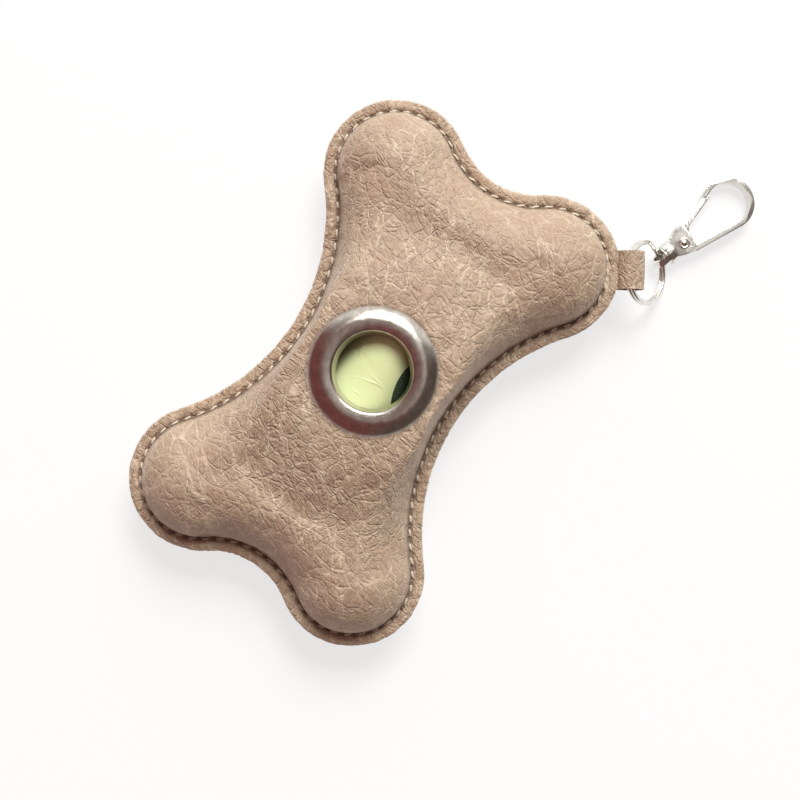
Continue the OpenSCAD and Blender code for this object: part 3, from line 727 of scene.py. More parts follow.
@dataclass(frozen=True)
class TapeFinish:
    """Woven zip tape with its fine ribs."""

    name: str = "zip_tape_weave"
    pale: Colour = (0.46, 0.33, 0.24)
    dark: Colour = (0.25, 0.17, 0.12)
    ribs: float = 1.25

    def build(self) -> bpy.types.Material:
        """Makes the material.

        Returns:
            The material, ready for a piece.
        """
        material, tree, shader = surface(self.name, Roughness=0.85, Sheen_Weight=0.3)
        place = tree.place()
        waves = [
            tree.add(
                "ShaderNodeTexWave", {"Vector": place, "Scale": self.ribs, "Distortion": 0.6},
                bands_direction=direction,
            ).outputs["Fac"]
            for direction in ("X", "Y")
        ]
        weave = tree.math("MAXIMUM", waves[0], tree.math("MULTIPLY", waves[1], 0.8))
        fuzz = tree.noise(place, 2.5, 3.0, 0.7)
        height = tree.math("MULTIPLY_ADD", fuzz, 0.35, weave)
        colour = tree.mix(tree.step(height, 0.2, 1.2), self.dark, self.pale)
        finish_with(tree, shader, colour, height=height, depth=0.12)
        return material


class Finishes:
    """All finishes, each made once."""

    def __init__(self) -> None:
        """Makes the materials."""
        self.leather = LeatherFinish().build()
        self.edge = EdgeFinish().build()
        self.eyelet = MetalFinish(
            "satin_nickel", Gloss.SATIN, (0.58, 0.54, 0.49), (0.46, 0.41, 0.36), 0.035, (2.1, 2.1, 2.1)
        ).build()
        self.nickel = MetalFinish("bright_nickel", Gloss.BRIGHT, (0.86, 0.85, 0.81), (0.76, 0.74, 0.69)).build()
        self.spring = MetalFinish("spring_steel", Gloss.WORN, (0.42, 0.41, 0.40), (0.30, 0.29, 0.28)).build()
        self.zip_metal = MetalFinish(
            "zip_metal", Gloss.WORN, (0.66, 0.60, 0.50), (0.50, 0.44, 0.35), 0.02
        ).build()
        self.thread = ThreadFinish().build()
        self.film = FilmFinish().build()
        self.card = CardFinish().build()
        self.tape = TapeFinish().build()


# --------------------------------------------------------------------------- the bone's shape


@dataclass(frozen=True)
class Bone:
    """Outline and puffed shape of the pouch, the same as the frame's."""

    lobe: tuple[float, float] = (57.0, 28.0)
    lobe_r: float = 23.0
    waist_half: float = 30.0
    notch_half: float = 71.0
    seam_z: float = 16.0
    leather: float = 1.2
    allowance: float = 4.3
    stitch_line: float = 3.8
    stitches: int = 111
    front_rise: float = 21.0
    lobe_rise: float = 14.5
    crown_flat: float = 20.5
    crown_fade: float = 30.0
    front_run: tuple[float, float] = (4.0, 17.0)
    back_depth: float = 14.8
    back_run: tuple[float, float] = (6.0, 15.5)
    channel: float = 2.8
    channel_flat: float = 9.0
    channel_fade: float = 7.0
    run_fade: float = 42.0
    tab_angle: float = math.radians(-59.0)
    tab_spread: float = 1.2

    @property
    def waist_r(self) -> float:
        """Radius of the waist's arc."""
        rise = self.waist_half - self.lobe[1]
        return (self.lobe[0] ** 2 + rise**2 - self.lobe_r**2) / (2 * (self.lobe_r - rise))

    @property
    def notch_r(self) -> float:
        """Radius of the notch's arc."""
        reach = self.notch_half - self.lobe[0]
        return (self.lobe[1] ** 2 + reach**2 - self.lobe_r**2) / (2 * (self.lobe_r - reach))

    @property
    def centres(self) -> tuple[Array, Array, Array]:
        """Centres of the first quarter's arcs.

        Returns:
            Centres of the notch, the lobe and the waist.
        """
        return (
            np.array([self.notch_half + self.notch_r, 0.0]),
            np.array(self.lobe),
            np.array([0.0, self.waist_half + self.waist_r]),
        )

    @property
    def turns(self) -> tuple[float, float]:
        """Directions from the lobe's centre to the two neighbours.

        Returns:
            Angles of the points where the lobe meets the notch and the waist.
        """
        notch, lobe, waist = self.centres
        return (
            math.atan2(-lobe[1], notch[0] - lobe[0]),
            math.atan2(waist[1] - lobe[1], -lobe[0]),
        )

    @property
    def arcs(self) -> tuple[float, float, float]:
        """Radii of the stitch line's arcs: notch, lobe and waist."""
        t = self.stitch_line
        return self.notch_r + t, self.lobe_r - t, self.waist_r + t

    @property
    def lengths(self) -> tuple[float, float, float]:
        """Lengths of the stitch line's arcs in one quarter.

        Returns:
            Lengths along the notch, the lobe and the waist.
        """
        low, high = self.turns
        notch, lobe, waist = self.arcs
        return notch * -low, lobe * (high - low), waist * (high - math.pi / 2)

    @property
    def round(self) -> float:
        """Length of the whole stitch line."""
        return 4 * sum(self.lengths)

    @property
    def pitch(self) -> float:
        """Distance from one stitch to the next."""
        return self.round / self.stitches

    @property
    def tab_root(self) -> Array:
        """Point of the outline where the tab comes out.

        Returns:
            Its x and y.
        """
        return np.array([
            self.lobe[0] + self.lobe_r * math.cos(self.tab_angle),
            -self.lobe[1] + self.lobe_r * math.sin(self.tab_angle),
        ])

    def at(self, s: Array, t: Array | float) -> Array:
        """Points of the outline.

        Args:
            s: Distances along the stitch line, from the notch at +X, counter-clockwise.
            t: How far inside the cut edge the points lie.

        Returns:
            One row of x and y for each point.
        """
        quarter = self.round / 4
        s = np.mod(np.asarray(s, float), self.round)
        turn = np.floor(s / quarter).astype(int) % 4
        local = s - turn * quarter
        local = np.where(turn % 2 == 1, quarter - local, local)
        t = np.broadcast_to(np.asarray(t, float), local.shape)
        low, high = self.turns
        radii, (l_notch, l_lobe, _) = self.arcs, self.lengths
        angle = np.where(
            local < l_notch,
            math.pi - local / radii[0],
            np.where(
                local < l_notch + l_lobe,
                low + (local - l_notch) / radii[1],
                high + math.pi - (local - l_notch - l_lobe) / radii[2],
            ),
        )
        kind = (local >= l_notch).astype(int) + (local >= l_notch + l_lobe).astype(int)
        centre = np.array(self.centres)[kind]
        radius = np.choose(kind, [self.notch_r + t, self.lobe_r - t, self.waist_r + t])
        point = centre + radius[:, None] * np.stack([np.cos(angle), np.sin(angle)], 1)
        return point * np.array([[1, 1], [-1, 1], [-1, -1], [1, -1]])[turn]

    @staticmethod
    def side(a: Array, b: Array) -> Array:
        """Side of one direction on which another lies: above 0 on its left."""
        return a[..., 0] * b[..., 1] - a[..., 1] * b[..., 0]

    def where(self, x: Array, y: Array) -> tuple[Array, Array]:
        """Finds points against the outline.

        Args:
            x: Positions along the bone.
            y: Positions across it.

        Returns:
            Distance along the stitch line, and distance inside the cut edge.
        """
        p = np.stack([np.abs(x), np.abs(y)], 1)
        notch, lobe, waist = self.centres
        q = p - lobe

        inside = (self.side(notch - lobe, q) > 0) & (self.side(q, waist - lobe) > 0)
        from_waist = np.linalg.norm(p - waist, axis=1) - self.waist_r
        from_notch = np.linalg.norm(p - notch, axis=1) - self.notch_r
        t = np.where(inside, self.lobe_r - np.linalg.norm(q, axis=1), np.minimum(from_waist, from_notch))
        radii, (l_notch, l_lobe, _) = self.arcs, self.lengths
        low, high = self.turns
        s_notch = radii[0] * (math.pi - np.arctan2(p[:, 1], p[:, 0] - notch[0]))
        s_lobe = l_notch + radii[1] * (np.arctan2(q[:, 1], q[:, 0]) - low)
        s_waist = l_notch + l_lobe + radii[2] * (
            high + math.pi - np.mod(np.arctan2(p[:, 1] - waist[1], p[:, 0]), TURN)
        )
        local = np.where(inside, s_lobe, np.where(from_waist < from_notch, s_waist, s_notch))
        quarter = self.round / 4
        s = np.where(
            y >= 0,
            np.where(x >= 0, local, 2 * quarter - local),
            np.where(x < 0, 2 * quarter + local, 4 * quarter - local),
        )
        return np.mod(s, self.round), t

    def spread(self, x: Array, y: Array) -> Array:
        """How far the tab pushes each flange away from the seam.

        Args:
            x: Positions along the bone.
            y: Positions across it.

        Returns:
            The distances, in mm.
        """
        away = np.stack([x, y], 1) - self.tab_root
        ahead = np.array([math.cos(self.tab_angle), math.sin(self.tab_angle)])
        aside = np.abs(away @ np.array([-ahead[1], ahead[0]]))
        along = away @ ahead
        push = self.tab_spread * (1 - smooth((aside - 11.5) / 7.0)) * smooth((along + 12) / 5.0)
        return np.where(along > -14, push, 0.0)

    @staticmethod
    def pillow(d: Array, run: Array) -> Array:
        """Round shoulder: 0 at the seam and 1 from one run inwards."""
        c = np.clip(d / run, 0.0, 1.0)
        return np.sqrt(np.maximum(1 - (1 - c) ** 2, 0.0))

    def front_width(self, x: Array) -> Array:
        """Run of the front panel's shoulder."""
        low, high = self.front_run
        return low + (high - low) * smooth((np.abs(x) - 6.0) / self.run_fade)

    def front(self, x: Array, y: Array) -> Array:
        """Height of the front panel above its flange.

        Args:
            x: Positions along the bone.
            y: Positions across it.

        Returns:
            The heights, in mm.
        """
        t = self.where(x, y)[1] - self.allowance
        crown = 1 - smooth((np.hypot(x, y) - self.crown_flat) / self.crown_fade)
        full = self.lobe_rise + (self.front_rise - self.lobe_rise) * crown
        return full * self.pillow(t, self.front_width(x))

    def back(self, x: Array, y: Array) -> Array:
        """Depth of the back panel below its flange.

        Args:
            x: Positions along the bone.
            y: Positions across it.

        Returns:
            The depths, in mm, with the zip's channel taken off.
        """
        t = self.where(x, y)[1] - self.allowance
        low, high = self.back_run
        run = low + (high - low) * smooth(np.abs(x) / self.run_fade)
        groove = self.channel * (1 - smooth((np.abs(y) - self.channel_flat) / self.channel_fade))
        return (self.back_depth - groove) * self.pillow(t, run)

    def wave(self, s: Array, t: Array) -> Array:
        """Unevenness that both flanges share."""
        far = smooth((self.stitch_line - t) / self.stitch_line)
        return far * (0.42 * ripple(s, self.round, 18, 44, 1) + 0.16 * ripple(s, self.round, 70, 120, 2))

    def gap(self, s: Array) -> Array:
        """1 between two stitches and 0 in the middle of one."""
        return 0.5 + 0.5 * np.cos(TURN * s / self.pitch)

    def groove(self, s: Array, t: Array) -> Array:
        """Depth to which the thread pulls the leather in.

        Args:
            s: Distances along the stitch line.
            t: Distances inside the cut edge.

        Returns:
            The depths, in mm: a shallow channel with a hole between two stitches.
        """
        across = hump(t, self.stitch_line, 0.8)
        hole_s = (np.abs(np.mod(s / self.pitch, 1.0) - 0.5) * self.pitch - 1.3) / 0.42
        hole = np.exp(-(hole_s**2) - ((t - self.stitch_line) / 0.45) ** 2)
        return across * (0.16 + 0.34 * self.gap(s)) + 0.5 * hole

    def quilt(self, s: Array, t: Array) -> Array:
        """Puckers beside the seam, and the flange's soft roll.

        Args:
            s: Distances along the stitch line.
            t: Distances inside the cut edge.

        Returns:
            How far the leather stands out, in mm.
        """
        inside = t - self.allowance
        pull = np.exp(-np.maximum(inside, 0) / 2.6) * smooth(inside / 0.9)
        uneven = 0.6 + 0.5 * ripple(s, self.round, 8, 26, 3)
        puckers = 0.2 * pull * uneven * -self.gap(s + 0.5 * ripple(s, self.round, 10, 20, 4))
        roll = np.where(t < self.stitch_line, np.sin(np.pi * np.clip(t / self.stitch_line, 0, 1)), 0.0)
        creases = 0.1 * ripple(s, self.round, 130, 260, 5) * smooth((self.stitch_line - t) / 1.2)
        return puckers + 0.34 * roll * (0.8 + 0.35 * ripple(s, self.round, 20, 50, 6)) + creases


# --------------------------------------------------------------------------- leather panels


# Distances inside the cut edge of the rows across a flange, in mm
FLANGE_ROWS = (0.0, 0.4, 1.5, 2.8, 3.55, 3.8, 4.05)
# How far the cut edge is rounded off, in mm
EDGE_ROUND = 0.4
# Depth of the folds in the panels and in the tab, in mm
PANEL_RELIEF = 0.16
TAB_RELIEF = 0.13


class Net:
    """Corners and faces of a panel while it is laid out."""

    def __init__(self) -> None:
        """Starts empty."""
        self.points: list[Array] = []
        self.faces: list[Face] = []
        self.count = 0

    def add(self, points: Array) -> Array:
        """Adds points.

        Args:
            points: The points in mm, one row each.

        Returns:
            Their numbers.
        """
        self.points.append(points)
        numbers = np.arange(self.count, self.count + len(points))
        self.count += len(points)
        return numbers

    def weave(self, rows: Sequence[Array], closed: bool) -> None:
        """Joins rows of points with four-cornered faces.

        Args:
            rows: Numbers of the points, row by row.
            closed: Whether each row closes on itself.
        """
        for a, b in zip(rows[:-1], rows[1:]):
            n = len(a)
            for i in range(n if closed else n - 1):
                j = (i + 1) % n
                self.faces.append((a[i], a[j], b[j], b[i]))

    def make(self, name: str) -> bpy.types.Object:
        """Makes the mesh object."""
        return from_arrays(name, np.concatenate(self.points), self.faces)


def edge_drop(t: float) -> float:
    """How far a flange's face falls away at a distance inside its cut edge, in mm."""
    return EDGE_ROUND * (1 - float(smooth(t / EDGE_ROUND)))


def relief_group(amount: float) -> bpy.types.GeometryNodeTree:
    """Modifier tree that presses the leather's creases into a mesh.

    Args:
        amount: Depth of a crease, in mm.

    Returns:
        The tree.
    """
    group = bpy.data.node_groups.new("pebbled_relief", "GeometryNodeTree")
    group.interface.new_socket("Geometry", in_out="INPUT", socket_type="NodeSocketGeometry")
    group.interface.new_socket("Geometry", in_out="OUTPUT", socket_type="NodeSocketGeometry")
    tree = Tree(group)
    start = tree.add("NodeGroupInput")
    folds = Grain.folds(tree, tree.place())
    swell = tree.math("MULTIPLY", tree.math("SUBTRACT", folds["clouds"], 0.5), 2.0)
    depth = tree.math("MULTIPLY_ADD", folds["long"], 1.0, swell)
    depth = tree.math("MULTIPLY", depth, -amount * MM)
    normal = tree.add("GeometryNodeInputNormal").outputs[0]
    move = tree.add("ShaderNodeVectorMath", {0: normal, "Scale": depth}, operation="SCALE").outputs[0]
    moved = tree.add("GeometryNodeSetPosition", {"Geometry": start.outputs[0], "Offset": move})
    tree.add("NodeGroupOutput", {0: moved.outputs[0]})
    return group


@dataclass
class Puff:
    """Cloth simulation that lets a panel swell between its seams."""

    pressure: float = 4.0
    frames: int = 20
    quality: int = 6
    mass: float = 0.3
    stretch: float = 25.0
    squash: float = 20.0
    shear: float = 12.0
    bending: float = 1.2
    cap: float = 0.9
    slack: float = -0.014

    def run(self, obj: bpy.types.Object, held: Array, floor: float | None = None) -> None:
        """Swells a panel and keeps the result in its mesh.

        Args:
            obj: The panel.
            held: Numbers of the corners that the seams hold.
            floor: Lowest height that a corner may reach, in mm.
        """
        rest = corners(obj)
        group = obj.vertex_groups.new(name="held")
        group.add([int(i) for i in held], 1.0, "REPLACE")
        cloth = obj.modifiers.new("swell", "CLOTH")
        settings = cloth.settings
        settings.quality = self.quality
        settings.mass = self.mass
        settings.tension_stiffness = self.stretch
        settings.compression_stiffness = self.squash
        settings.shear_stiffness = self.shear
        settings.bending_stiffness = self.bending
        settings.use_pressure = True
        settings.uniform_pressure_force = self.pressure
        settings.vertex_group_mass = "held"
        settings.pin_stiffness = 1.0
        settings.shrink_min = self.slack
        settings.effector_weights.gravity = 0.0
        cloth.collision_settings.use_collision = False
        cloth.point_cache.frame_start = 1
        cloth.point_cache.frame_end = self.frames
        scene = bpy.context.scene
        scene.frame_start, scene.frame_end = 1, self.frames
        for number in range(1, self.frames + 1):
            scene.frame_set(number)
        view = bpy.context.evaluated_depsgraph_get()
        swelled = obj.evaluated_get(view)
        co = np.empty(len(swelled.data.vertices) * 3, np.float32)
        swelled.data.vertices.foreach_get("co", co)
        moved = co.reshape(-1, 3).astype(float) / MM - MIDDLE - rest
        far = np.linalg.norm(moved, axis=1, keepdims=True)
        moved *= self.cap * np.tanh(far / self.cap) / np.maximum(far, 1e-9)
        obj.modifiers.remove(cloth)
        obj.vertex_groups.clear()
        scene.frame_set(1)
        placed = rest + np.nan_to_num(moved)
        if floor is not None:
            placed[:, 2] = np.maximum(placed[:, 2], floor)
        set_corners(obj, placed)
        LOG.info("%s swelled by up to %.2f mm", obj.name, float(np.linalg.norm(moved, axis=1).max()))


@dataclass
class FrontPanel:
    """Front of the pouch, with the hole that the eyelet is pressed into."""

    bone: Bone
    finishes: Finishes
    around: int = 216
    wall_rows: int = 8
    flange: tuple[float, ...] = FLANGE_ROWS
    spacing: float = 2.9
    last_row: float = 12.0
    eyelet_ring: int = 72
    loops: tuple[float, ...] = (19.6, 16.5, 13.4)
    unevenness: float = 0.12
    settling: int = 4

    def lay_out(self) -> tuple[bpy.types.Object, Array]:
        """Lays out the coarse panel.

        Returns:
            The mesh object, and the numbers of the corners that the seam and the eyelet hold.
        """
        bone, net = self.bone, Net()
        s = np.arange(self.around) * bone.round / self.around
        rows = []
        for t in self.flange:
            p = bone.at(s, t)
            z = bone.seam_z + bone.leather + bone.spread(p[:, 0], p[:, 1])
            rows.append(net.add(np.column_stack([p, z - edge_drop(t)])))
        for k in range(self.wall_rows + 1):
            run = self.shoulder(bone.at(s, bone.allowance)[:, 0])
            for _ in range(self.settling):
                p = bone.at(s, bone.allowance + run * (1 - math.cos(k / self.wall_rows * math.pi / 2)))
                run = self.shoulder(p[:, 0])
            rows.append(net.add(self.on_top(p)))
        held = np.concatenate(rows[: len(self.flange) + 1])
        net.weave(rows, closed=True)
        rim = TURN * np.arange(self.eyelet_ring) / self.eyelet_ring
        circle = np.stack([np.cos(rim), np.sin(rim)], 1)
        inner = net.add(self.on_top(circle * bone.crown_flat))
        self.fill(net, rows[-1], inner)
        hole = [inner] + [net.add(self.on_top(circle * r)) for r in self.loops]
        net.weave(hole, closed=True)
        return net.make("front_leather"), np.concatenate([held, *hole])

    def shoulder(self, x: Array) -> Array:
        """How far in the last row of the shoulder lies."""
        return np.minimum(self.bone.front_width(x), self.last_row)

    def on_top(self, p: Array) -> Array:
        """Puts points of the plan on the panel's outer face.

        Args:
            p: Points of the plan, one row each.

        Returns:
            The same points with their heights.
        """
        bone = self.bone
        z = bone.seam_z + bone.leather + bone.spread(p[:, 0], p[:, 1]) + bone.front(p[:, 0], p[:, 1])
        return np.column_stack([p, z])

    def fill(self, net: Net, outer: Array, inner: Array) -> None:
        """Fills the crown between two loops with even triangles.

        Args:
            net: The panel that is being laid out.
            outer: Numbers of the last row of the shoulder.
            inner: Numbers of the loop round the eyelet.
        """
        bone, h = self.bone, self.spacing
        known = np.concatenate(net.points)[:, :2]
        xs = np.arange(-70, 70, h)
        ys = np.arange(-50, 50, h * math.sqrt(3) / 2)
        grid = np.array([(x + (h / 2 if j % 2 else 0), y) for j, y in enumerate(ys) for x in xs])
        grid += np.random.default_rng(SEED + 10).uniform(-self.unevenness * h, self.unevenness * h, grid.shape)
        depth = bone.where(grid[:, 0], grid[:, 1])[1] - bone.allowance
        free = (depth > self.shoulder(grid[:, 0]) + 0.55 * h) & (
            np.hypot(grid[:, 0], grid[:, 1]) > bone.crown_flat + 0.6 * h
        )
        numbers = net.add(self.on_top(grid[free]))
        order = np.concatenate([outer, inner, numbers])
        plan = np.concatenate(net.points)[:, :2][order]
        n, m = len(outer), len(inner)
        edges = [(i, (i + 1) % n) for i in range(n)] + [(n + i, n + (i + 1) % m) for i in range(m)]
        made = delaunay_2d_cdt([Vector(p) for p in plan], edges, [], 0, 1e-6)
        triangles = np.array([f for f in made[2] if len(f) == 3])
        source = np.array([o[0] if o else -1 for o in made[3]])
        middle = np.array([tuple(v) for v in made[0]])[triangles].mean(1)
        depth = bone.where(middle[:, 0], middle[:, 1])[1] - bone.allowance
        keep = (depth > self.shoulder(middle[:, 0])) & (
            np.hypot(middle[:, 0], middle[:, 1]) > bone.crown_flat - 0.02
        )
        for triangle in triangles[keep]:
            if (source[triangle] >= 0).all():
                net.faces.append(tuple(order[source[triangle]]))

    def build(self) -> bpy.types.Object:
        """Makes the finished panel.

        Returns:
            The panel.
        """
        obj, held = self.lay_out()
        Puff().run(obj, held)
        return finish_leather(obj, self.bone, self.finishes, up=1.0, levels=2)


def subdivide(obj: bpy.types.Object, levels: int) -> None:
    """Divides a mesh into a finer and rounder one.

    Args:
        obj: The mesh object.
        levels: How often it is divided.
    """
    divide = obj.modifiers.new("divide", "SUBSURF")
    divide.levels = divide.render_levels = levels
    divide.boundary_smooth = "ALL"
    apply_modifiers(obj)


def press_relief(obj: bpy.types.Object, amount: float) -> None:
    """Presses the leather's folds into a mesh, to a depth in mm."""
    obj.modifiers.new("relief", "NODES").node_group = relief_group(amount)
    apply_modifiers(obj)


def thicken(obj: bpy.types.Object, thickness: float) -> None:
    """Gives a sheet its thickness, inwards from its outer face.

    Args:
        obj: The sheet. Where it has a second finish, its cut edge takes that.
        thickness: Its thickness, in mm.
    """
    thick = obj.modifiers.new("thickness", "SOLIDIFY")
    thick.thickness = thickness * MM
    thick.offset = -1
    thick.material_offset_rim = max(len(obj.data.materials) - 1, 0)
    apply_modifiers(obj)


def cut_from_hide(obj: bpy.types.Object, finishes: Finishes, thickness: float) -> None:
    """Gives a panel its thickness and finishes, and fixes it to the pouch.

    Args:
        obj: The panel.
        finishes: All finishes.
        thickness: Thickness of the leather, in mm.
    """
    obj.data.materials.append(finishes.leather)
    obj.data.materials.append(finishes.edge)
    thicken(obj, thickness)
    shade_smooth(obj, 50)
    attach(obj, "pouch")


@dataclass(frozen=True)
class Wear:
    """Where the leather's grain is crumpled, where shade is painted on it, and where it is worn pale."""

    bone: Bone
    calm: float = 0.34
    crumpled: float = 0.85
    crumple_r: float = 38.0
    crumple_width: float = 15.0
    flange_crumple: float = 0.3
    # Strengths of the painted shade in the seam's groove, its stitch holes, the fold and round the eyelet's rim
    seam_line_shade: float = 0.06
    stitch_hole_shade: float = 0.60
    fold_shade: float = 0.35
    eyelet_rim_shade: float = 0.35
    eyelet_r: float = 20.2
    edge_rub: float = 0.4
    shoulder_rub: float = 0.14
    shoulder: float = 5.6

    def crush(self, r: Array, t: Array) -> Array:
        """How hard the grain is squeezed.

        Args:
            r: Distances from the eyelet's axis.
            t: Distances inside the cut edge.

        Returns:
            Values from 0.2 to 1.3.
        """
        flange = smooth((self.bone.allowance - t) / 1.0)
        ring = hump(r, self.crumple_r, self.crumple_width)
        return np.clip(self.calm + self.crumpled * ring + self.flange_crumple * flange, 0.2, 1.3)

    def painted_shade(self, r: Array, s: Array, t: Array, front: bool) -> Array:
        """Painted shade on the leather: in the seam's groove and its stitch holes, in its fold beside the
        flange and round the eyelet's rim.

        Args:
            r: Distances from the eyelet's axis.
            s: Distances along the stitch line.
            t: Distances inside the cut edge.
            front: Whether the panel has the eyelet.

        Returns:
            Values from 0 to 0.85.
        """
        seam = hump(t, self.bone.stitch_line, 0.5) * (self.seam_line_shade + self.stitch_hole_shade * self.bone.gap(s))
        painted_shade = seam + self.fold_shade * hump(t, self.bone.allowance + 0.15, 0.35)
        if front:
            painted_shade = painted_shade + self.eyelet_rim_shade * hump(r, self.eyelet_r, 0.5)
        return np.clip(painted_shade, 0, 0.85)

    def rub(self, t: Array) -> Array:
        """How far the cut edge and the shoulder are worn pale, from their distance inside the edge."""
        return self.edge_rub * smooth((0.7 - t) / 0.7) + self.shoulder_rub * hump(t, self.shoulder, 0.9)


def finish_leather(obj: bpy.types.Object, bone: Bone, finishes: Finishes, up: float,
                   levels: int) -> bpy.types.Object:
    """Turns a coarse panel into leather with grain, seam and thickness.

    Args:
        obj: The coarse panel, its faces pointing outwards.
        bone: The pouch's shape.
        finishes: All finishes.
        up: 1 for the front and -1 for the back.
        levels: How often the mesh is divided.

    Returns:
        The same object, finished.
    """
    subdivide(obj, levels)
    p = corners(obj)
    s, t = bone.where(p[:, 0], p[:, 1])
    normal = corner_normals(obj)
    r = np.hypot(p[:, 0], p[:, 1])
    # The quilting of the seam fades out between 8 and 14 mm inside the cut edge
    beside = smooth((14.0 - t) / 6.0)
    p[:, 2] += bone.wave(s, t) - up * bone.groove(s, t)
    p += normal * (bone.quilt(s, t) * beside)[:, None]
    set_corners(obj, p)
    wear = Wear(bone)
    put_attribute(obj, "crush", wear.crush(r, t))
    # Painted shade: the seam's groove and holes, the panel's fold, and the eyelet's rim on the front
    put_attribute(obj, "painted_shade", wear.painted_shade(r, s, t, front=up > 0))
    put_attribute(obj, "rub", wear.rub(t))
    press_relief(obj, PANEL_RELIEF)
    if up < 0:
        # Folds may not press the back through the table that it lies on
        p = corners(obj)
        p[:, 2] = np.maximum(p[:, 2], 0.0)
        set_corners(obj, p)
    cut_from_hide(obj, finishes, bone.leather)
    return obj


@dataclass
class BackPanel:
    """One half of the zipped back."""

    bone: Bone
    finishes: Finishes
    side: int
    name: str
    along: int = 108
    rows: int = 15
    zip_gap: float = 4.8
    flange: tuple[float, ...] = FLANGE_ROWS

    def lay_out(self) -> tuple[bpy.types.Object, Array]:
        """Lays out the coarse panel.

        Returns:
            The mesh object, and the numbers of the corners that the seams hold.
        """
        bone, net = self.bone, Net()
        start = bone.lengths[0] / 4
        share = np.linspace(0, 1, self.along + 1)
        s = start + (bone.round / 2 - 2 * start) * share
        rows = []
        for t in self.flange:
            p = bone.at(s, t) * (1, self.side)
            z = bone.seam_z - bone.leather - bone.spread(p[:, 0], p[:, 1])
            rows.append(net.add(np.column_stack([p, z + edge_drop(t)])))
        ends = np.minimum(share, 1 - share) * 50
        flat = 0.2 + (bone.channel_flat - self.zip_gap - 0.2) * smooth(ends / 5)
        target = np.column_stack([(bone.notch_half - 6) * (1 - 2 * share), self.zip_gap + flat])
        edge = bone.at(s, bone.allowance)
        for k in range(self.rows + 1):
            p = edge + (target - edge) * (k / self.rows) ** 1.8
            rows.append(net.add(self.on_back(p)))
        for inward in (0.5, 0.93, 1.0):
            p = target - (0, 1) * (flat * inward)[:, None]
            rows.append(net.add(self.on_back(p) + (0, 0, 0.35 if inward == 1.0 else 0.0)))
        if self.side < 0:
            rows = [row[::-1] for row in rows]
        net.weave([row[::-1] for row in rows], closed=False)
        held = [*rows[: len(self.flange) + 1], *rows[-4:]]
        ends_held = [row[[0, 1, -2, -1]] for row in rows]
        return net.make(self.name), np.concatenate([*held, *ends_held])

    def on_back(self, p: Array) -> Array:
        """Puts points of the first half's plan on this half's outer face.

        Args:
            p: Points of the plan, one row each.

        Returns:
            The points on this half, with their heights.
        """
        bone = self.bone
        y = p[:, 1] * self.side
        z = bone.seam_z - bone.spread(p[:, 0], y) - bone.leather - bone.back(p[:, 0], y)
        return np.column_stack([p[:, 0], y, z])

    def build(self) -> bpy.types.Object:
        """Makes the finished half.

        Returns:
            The half.
        """
        obj, held = self.lay_out()
        Puff(cap=0.8).run(obj, held, floor=0.0)
        return finish_leather(obj, self.bone, self.finishes, up=-1.0, levels=1)


# --------------------------------------------------------------------------- sewing


def twisted_stitch(length: float, thick: float, around: int = 6, along: int = 8) -> tuple[Array, list[Face]]:
    """One stitch of waxed thread that dives into its two holes.

    Args:
        length: Distance between the holes, in mm.
        thick: Thickness of the thread, in mm.
        around: Corners round the thread.
        along: Steps along it.

    Returns:
        Corners with the stitch along X and up along Z, and the faces.
    """
    share = np.linspace(-1, 1, along + 1)
    turn = TURN * np.arange(around) / around
    middle = np.stack([share * length / 2, 0 * share, -0.85 * thick * np.abs(share) ** 3.4], 1)
    swell = thick / 2 * (1 - 0.22 * np.abs(share) ** 3)
    rings = []
    for i, centre in enumerate(middle):
        angle = turn + 0.35 * i
        ring = swell[i] * np.stack([0 * angle, np.cos(angle), 0.85 * np.sin(angle)], 1)
        rings.append(centre + ring)
    faces = []
    for i in range(along):
        for j in range(around):
            k = (j + 1) % around
            faces.append((i * around + j, i * around + k, (i + 1) * around + k, (i + 1) * around + j))
    faces.append(tuple(range(around))[::-1])
    faces.append(tuple(along * around + j for j in range(around)))
    return np.concatenate(rings), faces


@dataclass
class Stitching:
    """A row of stitches, each one a copy of the same short thread."""

    name: str
    node: str
    finish: bpy.types.Material
    stitch: tuple[float, float] = (2.6, 0.74)
    count: int = 0
    points: list[Array] = field(default_factory=list)
    faces: list[Face] = field(default_factory=list)

    def sew(self, centre: Array, along: Array, up: Array, stretch: float = 1.0) -> None:
        """Adds one stitch.

        Args:
            centre: Middle of the stitch, in mm.
            along: Direction of the seam.
            up: Direction away from the leather.
            stretch: Length of this stitch against the others.
        """
        form, faces = twisted_stitch(*self.stitch)
        up = up - along * float(up @ along)
        up = up / np.linalg.norm(up)
        across = np.cross(up, along)
        base = len(form) * self.count
        self.points.append(centre + form @ np.array([along * stretch, across, up]))
        self.faces += [tuple(base + i for i in face) for face in faces]
        self.count += 1

    def build(self) -> bpy.types.Object:
        """Makes the row as one piece.

        Returns:
            The piece.
        """
        obj = from_arrays(self.name, np.concatenate(self.points), self.faces)
        obj.data.materials.append(self.finish)
        shade_smooth(obj)
        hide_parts(self.node)
        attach(obj, "pouch")
        LOG.info("%s: %d stitches", self.name, self.count)
        return obj


# How far the thread sinks into the leather, in mm
THREAD_SINK = 0.16


